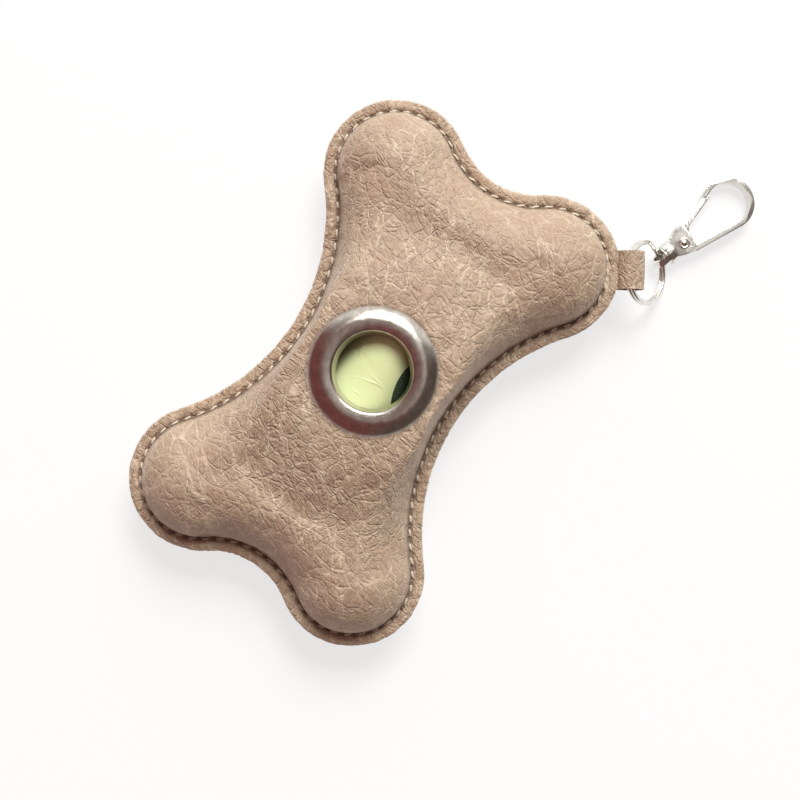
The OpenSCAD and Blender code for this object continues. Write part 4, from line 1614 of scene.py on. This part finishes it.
def sew_seam(bone: Bone, finish: bpy.types.Material) -> bpy.types.Object:
    """Sews the stitches round the seam, one row on each face.

    Args:
        bone: The pouch's shape.
        finish: Finish of the thread.

    Returns:
        Both rows as one piece.
    """
    rng = np.random.default_rng(SEED + 40)
    row = Stitching("seam_stitches", "seam_thread", finish)
    s = (np.arange(bone.stitches) + 0.5) * bone.pitch
    p, step = bone.at(s, bone.stitch_line), 0.2
    ahead = bone.at(s + step, bone.stitch_line) - bone.at(s - step, bone.stitch_line)
    ahead /= np.linalg.norm(ahead, axis=1, keepdims=True)
    for up in (1.0, -1.0):
        lift = bone.leather + bone.spread(p[:, 0], p[:, 1]) - THREAD_SINK + 0.14
        z = bone.seam_z + bone.wave(s, np.full(len(s), bone.stitch_line)) + up * lift
        for i in range(bone.stitches):
            # Waxed thread leans to one side of the seam on the front, and to the other on the back
            skew = up * 0.16 + rng.normal(0, 0.07)
            turn = np.array([[math.cos(skew), math.sin(skew)], [-math.sin(skew), math.cos(skew)]])
            along = np.append(ahead[i] @ turn, 0.0)
            row.sew(np.array([*p[i], z[i]]), along, np.array([0, 0, up]), 1 + rng.normal(0, 0.05))
    return row.build()


def sew_zip(bone: Bone, finish: bpy.types.Material, side: int, name: str, node: str) -> bpy.types.Object:
    """Sews one folded edge of the back to its tape.

    Args:
        bone: The pouch's shape.
        finish: Finish of the thread.
        side: 1 for the +Y edge and -1 for the -Y one.
        name: Name of the piece.
        node: Frame node that it stands for.

    Returns:
        The row.
    """
    rng = np.random.default_rng(SEED + 41 + side)
    row = Stitching(name, node, finish, (2.7, 0.6))
    count, first, pitch, beside = 25, -54.0, 4.4, 6.4
    ahead, out = np.array([1.0, 0, 0]), np.array([0, 0, -1.0])
    for i in range(count):
        x, y = np.array([first + i * pitch]), np.array([side * beside])
        z = bone.seam_z - bone.leather - bone.back(x, y) - THREAD_SINK
        row.sew(np.array([x[0], y[0], z[0]]), ahead, out, 1 + rng.normal(0, 0.05))
    return row.build()


# --------------------------------------------------------------------------- turned and swept pieces


def lathe(name: str, profile: Sequence[tuple[float, float]], steps: int = 144) -> bpy.types.Object:
    """Turns a closed outline round the upright axis through the bone's middle.

    Args:
        name: Name of the piece.
        profile: Radius and height of each corner of the outline, in mm.
        steps: Steps of the full turn.

    Returns:
        The turned piece.
    """
    obj = from_arrays(name, np.array([(r, 0.0, z) for r, z in profile]), [])
    n = len(profile)
    obj.data.edges.add(n)
    obj.data.edges.foreach_set("vertices", [k for i in range(n) for k in (i, (i + 1) % n)])
    obj.data.update()
    activate(obj)
    bpy.ops.object.mode_set(mode="EDIT")
    bpy.ops.mesh.select_all(action="SELECT")
    bpy.ops.mesh.spin(steps=steps, angle=TURN, center=tuple(MIDDLE * MM), axis=(0, 0, 1))
    bpy.ops.mesh.select_all(action="SELECT")
    bpy.ops.mesh.remove_doubles(threshold=SAME_CORNER)
    bpy.ops.mesh.delete_loose()
    bpy.ops.mesh.select_all(action="SELECT")
    bpy.ops.mesh.normals_make_consistent(inside=False)
    bpy.ops.object.mode_set(mode="OBJECT")
    return obj


def lay(obj: bpy.types.Object, axes: Array, centre: Array) -> None:
    """Turns a piece onto new axes.

    Args:
        obj: The piece.
        axes: Where its X, Y and Z go, one row each.
        centre: Where the bone's middle goes, in mm.
    """
    set_corners(obj, corners(obj) @ axes + centre)


def arc(centre: tuple[float, float], r: float, start: float, end: float,
        steps: int) -> list[tuple[float, float]]:
    """Points of an arc, with its angles in degrees from the upright."""
    angles = np.radians(np.linspace(start, end, steps + 1))
    return [(centre[0] + r * math.sin(a), centre[1] + r * math.cos(a)) for a in angles]


def sweep(name: str, centres: Array, outs: Array, ups: Array, section: Array) -> bpy.types.Object:
    """Draws a section along a line.

    Args:
        name: Name of the piece.
        centres: Points of the line, in mm.
        outs: Direction of the section's X at each point.
        ups: Direction of the section's Y at each point.
        section: Corners of the section.

    Returns:
        The piece, closed at both ends.
    """
    net = Net()
    rows = [
        net.add(c + section[:, :1] * out + section[:, 1:] * up) for c, out, up in zip(centres, outs, ups)
    ]
    net.weave(rows, closed=True)
    net.faces += [tuple(rows[0][::-1]), tuple(rows[-1])]
    obj = net.make(name)
    face_outwards(obj)
    return obj


def dress(obj: bpy.types.Object, finish: bpy.types.Material, body: str, slot: str, *nodes: str,
          degrees: float | None = 35.0) -> bpy.types.Object:
    """Gives a piece its finish and its place in the frame.

    Args:
        obj: The piece.
        finish: Its material.
        body: The body that it moves with.
        slot: Not used.
        nodes: Frame nodes that it stands for.
        degrees: Angle over which edges stay sharp, or None to smooth all.

    Returns:
        The same piece.
    """
    obj.data.materials.clear()
    obj.data.materials.append(finish)
    shade_smooth(obj, degrees)
    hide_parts(*nodes)
    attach(obj, body)
    LOG.info("%s: %d faces", obj.name, len(obj.data.polygons))
    return obj


def soften(obj: bpy.types.Object, width: float, segments: int = 3, degrees: float = 30.0) -> None:
    """Rounds the edges of a piece.

    Args:
        obj: The piece.
        width: Width of the rounding, in mm.
        segments: Steps across it.
        degrees: Angle from which an edge is rounded.
    """
    bevel = obj.modifiers.new("rounding", "BEVEL")
    bevel.width = width * MM
    bevel.segments = segments
    bevel.limit_method = "ANGLE"
    bevel.angle_limit = math.radians(degrees)
    bevel.use_clamp_overlap = True
    bevel.harden_normals = False
    apply_modifiers(obj)


@dataclass
class Eyelet:
    """Pressed eyelet with its locking ring behind the leather."""

    finishes: Finishes
    hole_r: float = 12.2
    throat_r: float = 11.2
    rim_r: float = 20.0
    top: float = 38.2
    dome: float = 2.0
    crest_r: float = 15.1
    outer_slope: float = 48.0
    flat_r: float = 13.0
    flat_slope: float = 9.4
    roll_r: float = 1.02
    sheet: float = 0.5
    foot: float = 34.95

    def profile(self) -> list[tuple[float, float]]:
        """Outline of the pressed sheet.

        Returns:
            Radius and height of each corner, in mm, from the outer rim over the crest and down the throat.
        """
        peak = self.top + self.dome
        outer_r = (self.rim_r - self.crest_r) / math.sin(math.radians(self.outer_slope))
        outer = arc((self.crest_r, peak - outer_r), outer_r, self.outer_slope, 0, 16)
        flat = arc((self.crest_r, peak - self.flat_r), self.flat_r, 0, -self.flat_slope, 10)
        bend = math.radians(self.flat_slope)
        roll = (
            self.crest_r - (self.flat_r - self.roll_r) * math.sin(bend),
            peak - self.flat_r + (self.flat_r - self.roll_r) * math.cos(bend),
        )
        lip = self.throat_r + 0.1
        under = [(r, z - self.sheet) for r, z in (*flat[::-3], *outer[::-3][1:])]
        return [
            (self.rim_r - 0.04, outer[0][1] - 0.12),
            *outer,
            *flat[1:],
            *arc(roll, self.roll_r, -self.flat_slope, -80, 10)[1:],
            (11.86, self.top - 0.5),
            (11.62, self.top - 1.5),
            (lip, self.foot + 0.45),
            (lip - 0.06, self.foot + 0.16),
            (lip + 0.12, self.foot),
            (self.hole_r + 3, self.foot),
            (self.hole_r + 3, self.foot + self.sheet),
            (lip + 0.8, self.foot + self.sheet),
            (self.hole_r + 0.3, self.top - 0.6),
            *under,
        ]

    def build(self) -> None:
        """Makes both rings."""
        front = lathe("eyelet_dome", self.profile())
        dress(front, self.finishes.eyelet, "pouch", "eyelet_nickel", "eyelet_front")
        back = carry_over("eyelet_back", "eyelet_locking_ring")
        soften(back, 0.12, 2)
        dress(back, self.finishes.eyelet, "pouch", "eyelet_nickel", "eyelet_back")


@dataclass
class BagRoll:
    """Roll of film bags on a cardboard core."""

    finishes: Finishes
    z: float = 20.95
    r: float = 13.6
    core_r: float = 6.5
    length: float = 58.0
    around: int = 180
    steps: int = 64
    ends: int = 18
    folds: int = 26
    film: float = 0.85

    def wound(self) -> bpy.types.Object:
        """Makes the film as one closed piece with a wound end on each side.

        Returns:
            The film.
        """
        rng = np.random.default_rng(SEED + 60)
        theta = TURN * np.arange(self.around) / self.around
        half, rows = self.length / 2, []
        spiral = theta / TURN
        profile = [(-half, r) for r in np.linspace(self.core_r, self.r - 0.5, self.ends)]
        profile += [(-half + 0.12, self.r - 0.15)]
        profile += [(x, self.r) for x in np.linspace(-half + 0.5, half - 0.5, self.steps)]
        profile += [(half - 0.12, self.r - 0.15)]
        profile += [(half, r) for r in np.linspace(self.r - 0.5, self.core_r, self.ends)]
        folds = [
            (rng.uniform(-half, half), rng.uniform(-2.2, 2.2), rng.uniform(0.5, 1.6), rng.uniform(0.04, 0.11))
            for _ in range(self.folds)
        ]
        net = Net()
        for x, r in profile:
            radius = np.full(self.around, r)
            place = np.full(self.around, x)
            if r >= self.r:
                radius = radius - 0.18 + 0.09 * ripple(theta * self.r, TURN * self.r, 2, 9, 61)
                radius -= 0.10 * smooth((x + 6) / 20)
                for fx, ft, wide, deep in folds:
                    beside = np.angle(np.exp(1j * (theta - ft)))
                    bend = fx + 3.5 * beside
                    near = np.exp(-((beside / 0.55) ** 2))
                    radius -= deep * near * np.exp(-(((x - bend) / wide) ** 2))
            elif abs(x) >= half - 1e-6:
                layer = np.mod((r - self.core_r) / self.film + spiral, 1.0)
                place = place - math.copysign(1, x) * 0.32 * smooth(np.abs(layer - 0.5) * 2)
            y, z = radius * np.sin(theta), self.z + radius * np.cos(theta)
            rows.append(net.add(np.stack([place, y, z], 1)))
        net.weave([*rows, rows[0]], closed=True)
        obj = net.make("bag_film_roll")
        self.unroll(obj)
        return obj

    def unroll(self, obj: bpy.types.Object) -> None:
        """Stores where each corner of the film lies on the unwound sheet, in mm.

        Args:
            obj: The film.
        """
        p = corners(obj)
        angle = np.arctan2(p[:, 1], p[:, 2] - self.z)
        loops = np.empty(len(obj.data.loops), np.int32)
        obj.data.loops.foreach_get("vertex_index", loops)
        layer = obj.data.uv_layers.new(name="wound")
        spots = np.stack([p[:, 0], angle * self.r], 1)[loops]
        layer.data.foreach_set("uv", spots.astype(np.float32).ravel())

    def build(self) -> None:
        """Makes the film and the core."""
        film = self.wound()
        face_outwards(film)
        dress(film, self.finishes.film, "roll", "bag_film", "bag_roll", degrees=50)
        outer, inner, half = self.core_r - 0.02, self.core_r - 0.8, self.length / 2 - 0.5
        core = lathe("card_core", [(inner, -half), (outer, -half), (outer, half), (inner, half)], 96)
        lay(core, np.array([[0, 0, 1.0], [0, -1.0, 0], [1.0, 0, 0]]), np.array([0, 0, self.z]))
        soften(core, 0.15, 2)
        dress(core, self.finishes.card, "roll", "cardboard", "roll_core")


@dataclass
class Tab:
    """Leather strip folded round the split ring and sewn into the seam."""

    bone: Bone
    finishes: Finishes
    width: float = 12.0
    leather: float = 1.1
    loop_u: float = 3.6
    loop_r: float = 2.35
    inner_end: float = -5.3
    leave: float = 0.15
    play: float = 0.04

    def line(self) -> Array:
        """Outer face of the folded strip, from top to bottom.

        Returns:
            Distance out of the seam and height of each point, in mm.
        """
        half, outer = self.leather, self.loop_r + self.leather
        reach = self.loop_u - self.leave
        lean = math.acos(outer / math.hypot(reach, half)) + math.atan2(half, reach)
        angles = np.linspace(math.pi - lean, lean - math.pi, 25)
        bend = np.stack([self.loop_u + outer * np.cos(angles), outer * np.sin(angles)], 1)
        top = np.stack([np.linspace(self.inner_end, self.leave, 7), np.full(7, half)], 1)
        return np.concatenate([top, bend, top[::-1] * (1, -1)])

    def build(self) -> bpy.types.Object:
        """Makes the tab.

        Returns:
            The tab.
        """
        line = self.line()
        across = np.linspace(-self.width / 2, self.width / 2, 13)
        ahead = np.array([math.cos(self.bone.tab_angle), math.sin(self.bone.tab_angle), 0.0])
        aside = np.array([-ahead[1], ahead[0], 0.0])
        root = np.array([*self.bone.tab_root, self.bone.seam_z])
        net = Net()
        rows = []
        for k, (u, z) in enumerate(line):
            sag = 0.12 * np.cos(across / self.width * TURN) * smooth((u - 0.2) / 3)
            rows.append(net.add(
                root + (u + sag)[:, None] * ahead + across[:, None] * aside
                + np.outer(np.full(13, z), (0, 0, 1.0))
            ))
        net.weave(rows, closed=False)
        obj = net.make("tab_leather")
        subdivide(obj, 2)
        p = corners(obj) - root
        v, u = p @ aside, p @ ahead
        put_attribute(obj, "crush", 0.55 + 0.35 * smooth((u - 1) / 4))
        # Painted shade on the tab's top face where it goes in between the flanges
        put_attribute(obj, "painted_shade", 0.55 * smooth((1.1 - np.abs(u)) / 1.0) * (p[:, 2] > 0))
        put_attribute(obj, "rub", 0.35 * smooth((np.abs(v) - self.width / 2 + 0.8) / 0.8))
        press_relief(obj, TAB_RELIEF)
        cut_from_hide(obj, self.finishes, self.leather - self.play)
        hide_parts("tab_strap")
        return obj


# --------------------------------------------------------------------------- ring and hook


@dataclass
class SplitRing:
    """Two turns of flattened wire that lie on each other."""

    bone: Bone
    finishes: Finishes
    r: float = 9.7
    tilt: float = math.radians(47.0)
    wide: float = 1.6
    high: float = 1.1
    flat: float = 0.82
    step: float = 1.15
    start: float = 18.0
    sweep: float = 684.0
    jog: float = 75.0
    crossing: float = 36.0
    steps: int = 300
    around: int = 20
    loop_u: float = 3.6
    hang: float = 1.04

    def axes(self) -> tuple[Array, Array, Array, Array]:
        """Place of the ring.

        Returns:
            Its centre in mm, and its directions down, aside and along its axis.
        """
        ahead = np.array([math.cos(self.bone.tab_angle), math.sin(self.bone.tab_angle), 0.0])
        aside = np.array([-ahead[1], ahead[0], 0.0])
        down = math.cos(self.tilt) * ahead - math.sin(self.tilt) * np.array([0, 0, 1.0])
        root = np.array([*self.bone.tab_root, self.bone.seam_z])
        return root + self.loop_u * ahead + (self.r - self.hang) * down, down, aside, np.cross(down, aside)

    def build(self) -> bpy.types.Object:
        """Makes the ring.

        Returns:
            The ring.
        """
        centre, down, aside, axis = self.axes()
        share = np.linspace(0, 1, self.steps + 1)
        a = np.radians(self.jog + self.start + share * self.sweep)
        out = np.cos(a)[:, None] * down + np.sin(a)[:, None] * aside
        level = self.step * (smooth((share * self.sweep - self.sweep / 2) / self.crossing + 0.5) - 0.5)
        turn = TURN * (np.arange(self.around) + 0.5) / self.around
        section = np.stack([
            self.wide / 2 * np.sign(np.cos(turn)) * np.abs(np.cos(turn)) ** self.flat,
            self.high / 2 * np.sign(np.sin(turn)) * np.abs(np.sin(turn)) ** self.flat,
        ], 1)
        middle = centre + self.r * out + level[:, None] * axis
        obj = sweep("split_ring_coil", middle, out, np.tile(axis, (len(out), 1)), section)
        soften(obj, 0.12, 2, 60)
        return dress(obj, self.finishes.nickel, "ring", "bright_nickel", "split_ring", degrees=45)


@dataclass(frozen=True)
class HookFrame:
    """The hook's own axes, with its rivet at the origin."""

    rivet: Point = (88.9386, -61.5351, 3.59179)
    along: Point = (0.950033, -0.308684, -0.0463896)
    aside: Point = (0.309017, 0.951057, 0.0)
    up: Point = (0.0441192, -0.0143352, 0.998923)

    def lay(self, obj: bpy.types.Object) -> None:
        """Moves a piece that was made round the origin onto the hook."""
        lay(obj, np.array([self.along, self.aside, self.up]), np.array(self.rivet))


@dataclass
class SnapHook:
    """Swivel eye, body, gate, spring and rivet of the trigger hook."""

    finishes: Finishes
    at: HookFrame = HookFrame()
    depth: float = 4.6
    shank_r: float = 0.88
    spring_r: float = 1.28
    wire: float = 0.16
    turns: int = 3

    def rivet(self) -> None:
        """Rivet with a dimpled head."""
        half = self.depth / 2
        dimple = [(0.0, 0.42), (0.5, 0.4), (0.9, 0.12), (1.12, 0.14), (1.2, 0.42)]
        dome = [(1.35, 0.5), (1.66, 0.46), (1.86, 0.25), (1.9, 0.02)]
        head = [(r, half + z) for r, z in (*dimple, *dome, (self.shank_r, 0.0))]
        obj = lathe("rivet_head", [*head, (self.shank_r, -half), (0.0, -half)], 64)
        self.at.lay(obj)
        dress(obj, self.finishes.nickel, "hook", "bright_nickel", "gate_rivet", degrees=50)

    def spring(self) -> None:
        """Torsion spring coiled round the rivet."""
        n = 48 * self.turns
        a = math.radians(100) + TURN * self.turns * np.arange(n + 1) / n
        out = np.stack([np.cos(a), np.sin(a), 0 * a], 1)
        rise = (np.arange(n + 1) / n - 0.5) * 2.2 * self.wire * self.turns
        middle = self.spring_r * out + rise[:, None] * np.array([0, 0, 1.0])
        turn = TURN * np.arange(10) / 10
        section = self.wire * np.stack([np.cos(turn), np.sin(turn)], 1)
        obj = sweep("gate_spring_coil", middle, out, np.tile([0, 0, 1.0], (n + 1, 1)), section)
        self.at.lay(obj)
        dress(obj, self.finishes.spring, "hook", "spring_steel", "gate_spring", degrees=60)

    def build(self) -> None:
        """Makes every piece of the hook."""
        for node, name, body, width in (
            ("hook_body", "hook_casting", "hook", 0.34),
            ("hook_gate", "gate_channel", "gate", 0.14),
            ("swivel_eye", "swivel_eye_ring", "eye", 0.4),
        ):
            obj = carry_over(node, name)
            soften(obj, width, 4, 38)
            dress(obj, self.finishes.nickel, body, "bright_nickel", node, degrees=42)
        self.rivet()
        self.spring()


# --------------------------------------------------------------------------- zip


@dataclass
class Zip:
    """Tapes, teeth, stops, slider and pull of the zip."""

    bone: Bone
    finishes: Finishes
    tape_t: float = 0.5
    end: float = 70.5
    reach: float = 50.0
    gap: float = 4.8
    tape: tuple[float, float] = (2.2, 13.0)
    closed: float = 0.05
    tuck: float = 1.3

    def weave(self, side: int, name: str, node: str) -> bpy.types.Object:
        """Makes one woven tape.

        Args:
            side: 1 for the +Y tape and -1 for the -Y one.
            name: Name of the piece.
            node: Frame node that it stands for.

        Returns:
            The tape.
        """
        bone, net = self.bone, Net()
        x = self.end * np.sin(np.linspace(-math.pi / 2, math.pi / 2, 97))
        low, high = self.tape
        inner = low + (self.closed - low) * smooth((np.abs(x) - self.reach - 3) / 5)
        outer = high + (self.gap - self.tuck - high) * smooth((np.abs(x) - 54) / 10)
        rise = bone.back_depth - bone.channel - 0.9
        rows = []
        for k in np.linspace(0, 1, 13):
            y = inner + (outer - inner) * k
            t = bone.where(x, y)[1] - bone.allowance - bone.leather - 0.6
            z = bone.seam_z - rise * bone.pillow(t, np.full(len(x), bone.back_run[1])) - self.tape_t
            rows.append(net.add(np.stack([x, side * y, z], 1)))
        net.weave(rows if side < 0 else rows[::-1], closed=False)
        obj = net.make(name)
        thicken(obj, self.tape_t)
        dress(obj, self.finishes.tape, "pouch", "zip_tape", node, degrees=50)
        return obj

    def build(self) -> None:
        """Makes the whole zip."""
        self.weave(1, "zip_tape_left_weave", "zip_tape_left")
        self.weave(-1, "zip_tape_right_weave", "zip_tape_right")
        for node, name, body, width in (
            ("zip_teeth_left", "zip_teeth_left_row", "pouch", 0.16),
            ("zip_teeth_right", "zip_teeth_right_row", "pouch", 0.16),
            ("zip_stop_top", "zip_top_stop", "pouch", 0.3),
            ("zip_stop_bottom", "zip_bottom_stop", "pouch", 0.3),
            ("zip_slider", "slider_casting", "slider", 0.22),
            ("zip_pull", "pull_tag", "pull", 0.16),
        ):
            obj = carry_over(node, name)
            soften(obj, width, 2 if "teeth" in node else 3, 35)
            dress(obj, self.finishes.zip_metal, body, "zip_metal", node, degrees=42)


# --------------------------------------------------------------------------- light and camera


@dataclass
class Studio:
    """Pale table, soft light and the camera above."""

    eye: Point = (-2.78, -11.49, 496.0)
    turn: float = math.radians(-57.5)
    angle: float = math.radians(29.46)
    floor: Colour = (0.93, 0.93, 0.93)
    paper: float = 0.74
    ahead: tuple[float, float] = (0.9367, 0.3502)
    panel: tuple[float, float] = (0.17, 0.12)
    ceiling: Colour = (0.31, 0.278, 0.25)
    bright: Colour = (1.25, 1.24, 1.21)
    skirting: Colour = (0.80, 0.79, 0.78)
    backdrop: Colour = (0.96, 0.96, 0.96)
    dim: Colour = (0.24, 0.085, 0.085)
    brown: Colour = (0.14, 0.11, 0.095)
    window: Point = (1.86, 0.56, 2.26)
    window_size: tuple[float, float] = (1.3, 1.3)
    window_power: float = 91.0
    daylight: Colour = (1.0, 0.995, 0.98)

    def table(self) -> None:
        """Plain pale table top."""
        deselect()
        bpy.ops.mesh.primitive_plane_add(size=6.0, location=(0, 0, 0))
        plane = bpy.context.object
        plane.name = "table_top"
        material, tree, shader = surface("pale_table", Roughness=0.7, Specular_IOR_Level=0.2)
        grain = tree.noise(tree.place(), 0.01)
        colour = tree.mix(tree.step(grain, 0.3, 0.7), self.floor, tuple(c * 0.995 for c in self.floor))
        finish_with(tree, shader, colour)
        seen = tree.add("ShaderNodeLightPath").outputs
        plain = tree.add("ShaderNodeEmission", {"Color": (1.0, 1.0, 1.0, 1.0), "Strength": 1.0})
        either = tree.math("MAXIMUM", seen["Is Camera Ray"], seen["Is Glossy Ray"])
        share = tree.math("MULTIPLY", either, self.paper)
        top = tree.add("ShaderNodeMixShader", {0: share, 1: shader.outputs[0], 2: plain.outputs[0]})
        out = next(n for n in tree.tree.nodes if n.type == "OUTPUT_MATERIAL")
        tree.tree.links.new(top.outputs[0], out.inputs["Surface"])
        plane.data.materials.append(material)

    def lamp(self, name: str, place: Point, size: tuple[float, float], power: float, colour: Colour) -> None:
        """Adds a soft rectangular lamp that looks at the bone.

        Args:
            name: Name of the lamp.
            place: Where it stands, in metres from the bone's middle.
            size: Width and height, in metres.
            power: Power, in watts.
            colour: Its colour.
        """
        data = bpy.data.lights.new(name, "AREA")
        data.shape = "RECTANGLE"
        data.size, data.size_y = size
        data.energy = power
        data.color = colour
        obj = bpy.data.objects.new(name, data)
        bpy.context.scene.collection.objects.link(obj)
        middle = Vector(MIDDLE * MM)
        obj.location = middle + Vector(place)
        obj.rotation_euler = (-Vector(place)).to_track_quat("-Z", "Y").to_euler()

    def sky(self) -> None:
        """Room round the table: a bright wall on one side, dim and warm on the other."""
        world = bpy.data.worlds.new("soft_room")
        bpy.context.scene.world = world
        world.use_nodes = True
        tree = Tree(world.node_tree)
        way = tree.add("ShaderNodeTexCoord").outputs["Generated"]

        # How far a direction leans to two sides of the room, from -1 to 1
        ahead = tree.along(way, (*self.ahead, 0.0))
        aside = tree.along(way, (self.ahead[1], -self.ahead[0], 0.0))
        low = tree.mix(tree.step(aside, -0.05, 0.4), self.dim, self.brown)
        beside = tree.math("MULTIPLY_ADD", tree.math("ABSOLUTE", aside), -0.75, ahead)
        room = tree.mix(tree.step(beside, 0.02, -0.15), self.ceiling, low)
        off = [tree.math("SUBTRACT", value, middle) for value, middle in zip((aside, ahead), self.panel)]
        squares = tree.math("MULTIPLY_ADD", off[0], off[0], tree.math("MULTIPLY", off[1], off[1]))
        apart = tree.math("SQRT", squares)
        room = tree.mix(tree.step(apart, 0.02, 0.2, 1.0, 0.0), room, self.bright)
        room = tree.mix(tree.step(ahead, 0.45, 0.72), room, self.bright)
        rise = tree.add("ShaderNodeSeparateXYZ", {0: way}).outputs[2]
        room = tree.mix(tree.step(rise, 0.10, 0.03), room, self.skirting)
        seen = tree.add("ShaderNodeLightPath").outputs["Is Camera Ray"]
        room = tree.mix(seen, room, self.backdrop)
        glow = tree.add("ShaderNodeBackground", {"Color": room, "Strength": 1.0})
        tree.add("ShaderNodeOutputWorld", {"Surface": glow.outputs[0]})

    def camera(self) -> None:
        """Camera straight above."""
        data = bpy.data.cameras.new("overhead")
        data.sensor_width = 36.0
        data.lens = 18.0 / math.tan(self.angle / 2)
        data.clip_start, data.clip_end = 0.01, 20.0
        obj = bpy.data.objects.new("overhead", data)
        bpy.context.scene.collection.objects.link(obj)
        obj.location = Vector((np.array(self.eye) + MIDDLE) * MM)
        obj.rotation_euler = Euler((0.0, 0.0, self.turn))
        bpy.context.scene.camera = obj

    def build(self) -> None:
        """Sets up the whole studio."""
        self.table()
        self.lamp("window", self.window, self.window_size, self.window_power, self.daylight)
        self.sky()
        self.camera()
        scene = bpy.context.scene
        scene.view_settings.view_transform = "Standard"
        scene.view_settings.look = "None"


# --------------------------------------------------------------------------- the whole dispenser


@dataclass
class Pouch:
    """Leather bone with its eyelet, tab and sewing."""

    bone: Bone
    finishes: Finishes

    def build(self) -> None:
        """Makes the leather and what is fixed to it."""
        front = FrontPanel(self.bone, self.finishes).build()
        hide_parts("front_panel")
        for side, name, node in (
            (1, "back_leather_left", "back_panel_left"),
            (-1, "back_leather_right", "back_panel_right"),
        ):
            half = BackPanel(self.bone, self.finishes, side, name).build()
            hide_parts(node)
        Tab(self.bone, self.finishes).build()
        sew_seam(self.bone, self.finishes.thread)
        sew_zip(self.bone, self.finishes.thread, 1, "zip_stitches_left", "zip_thread_left")
        sew_zip(self.bone, self.finishes.thread, -1, "zip_stitches_right", "zip_thread_right")
        Eyelet(self.finishes).build()


def main() -> None:
    """Builds the dispenser and its studio."""
    logging.basicConfig(level=logging.INFO, format="%(name)s %(message)s")
    bone, finishes = Bone(), Finishes()
    Pouch(bone, finishes).build()
    BagRoll(finishes).build()
    SplitRing(bone, finishes).build()
    SnapHook(finishes).build()
    Zip(bone, finishes).build()
    Studio().build()


if __name__ == "__main__":
    main()
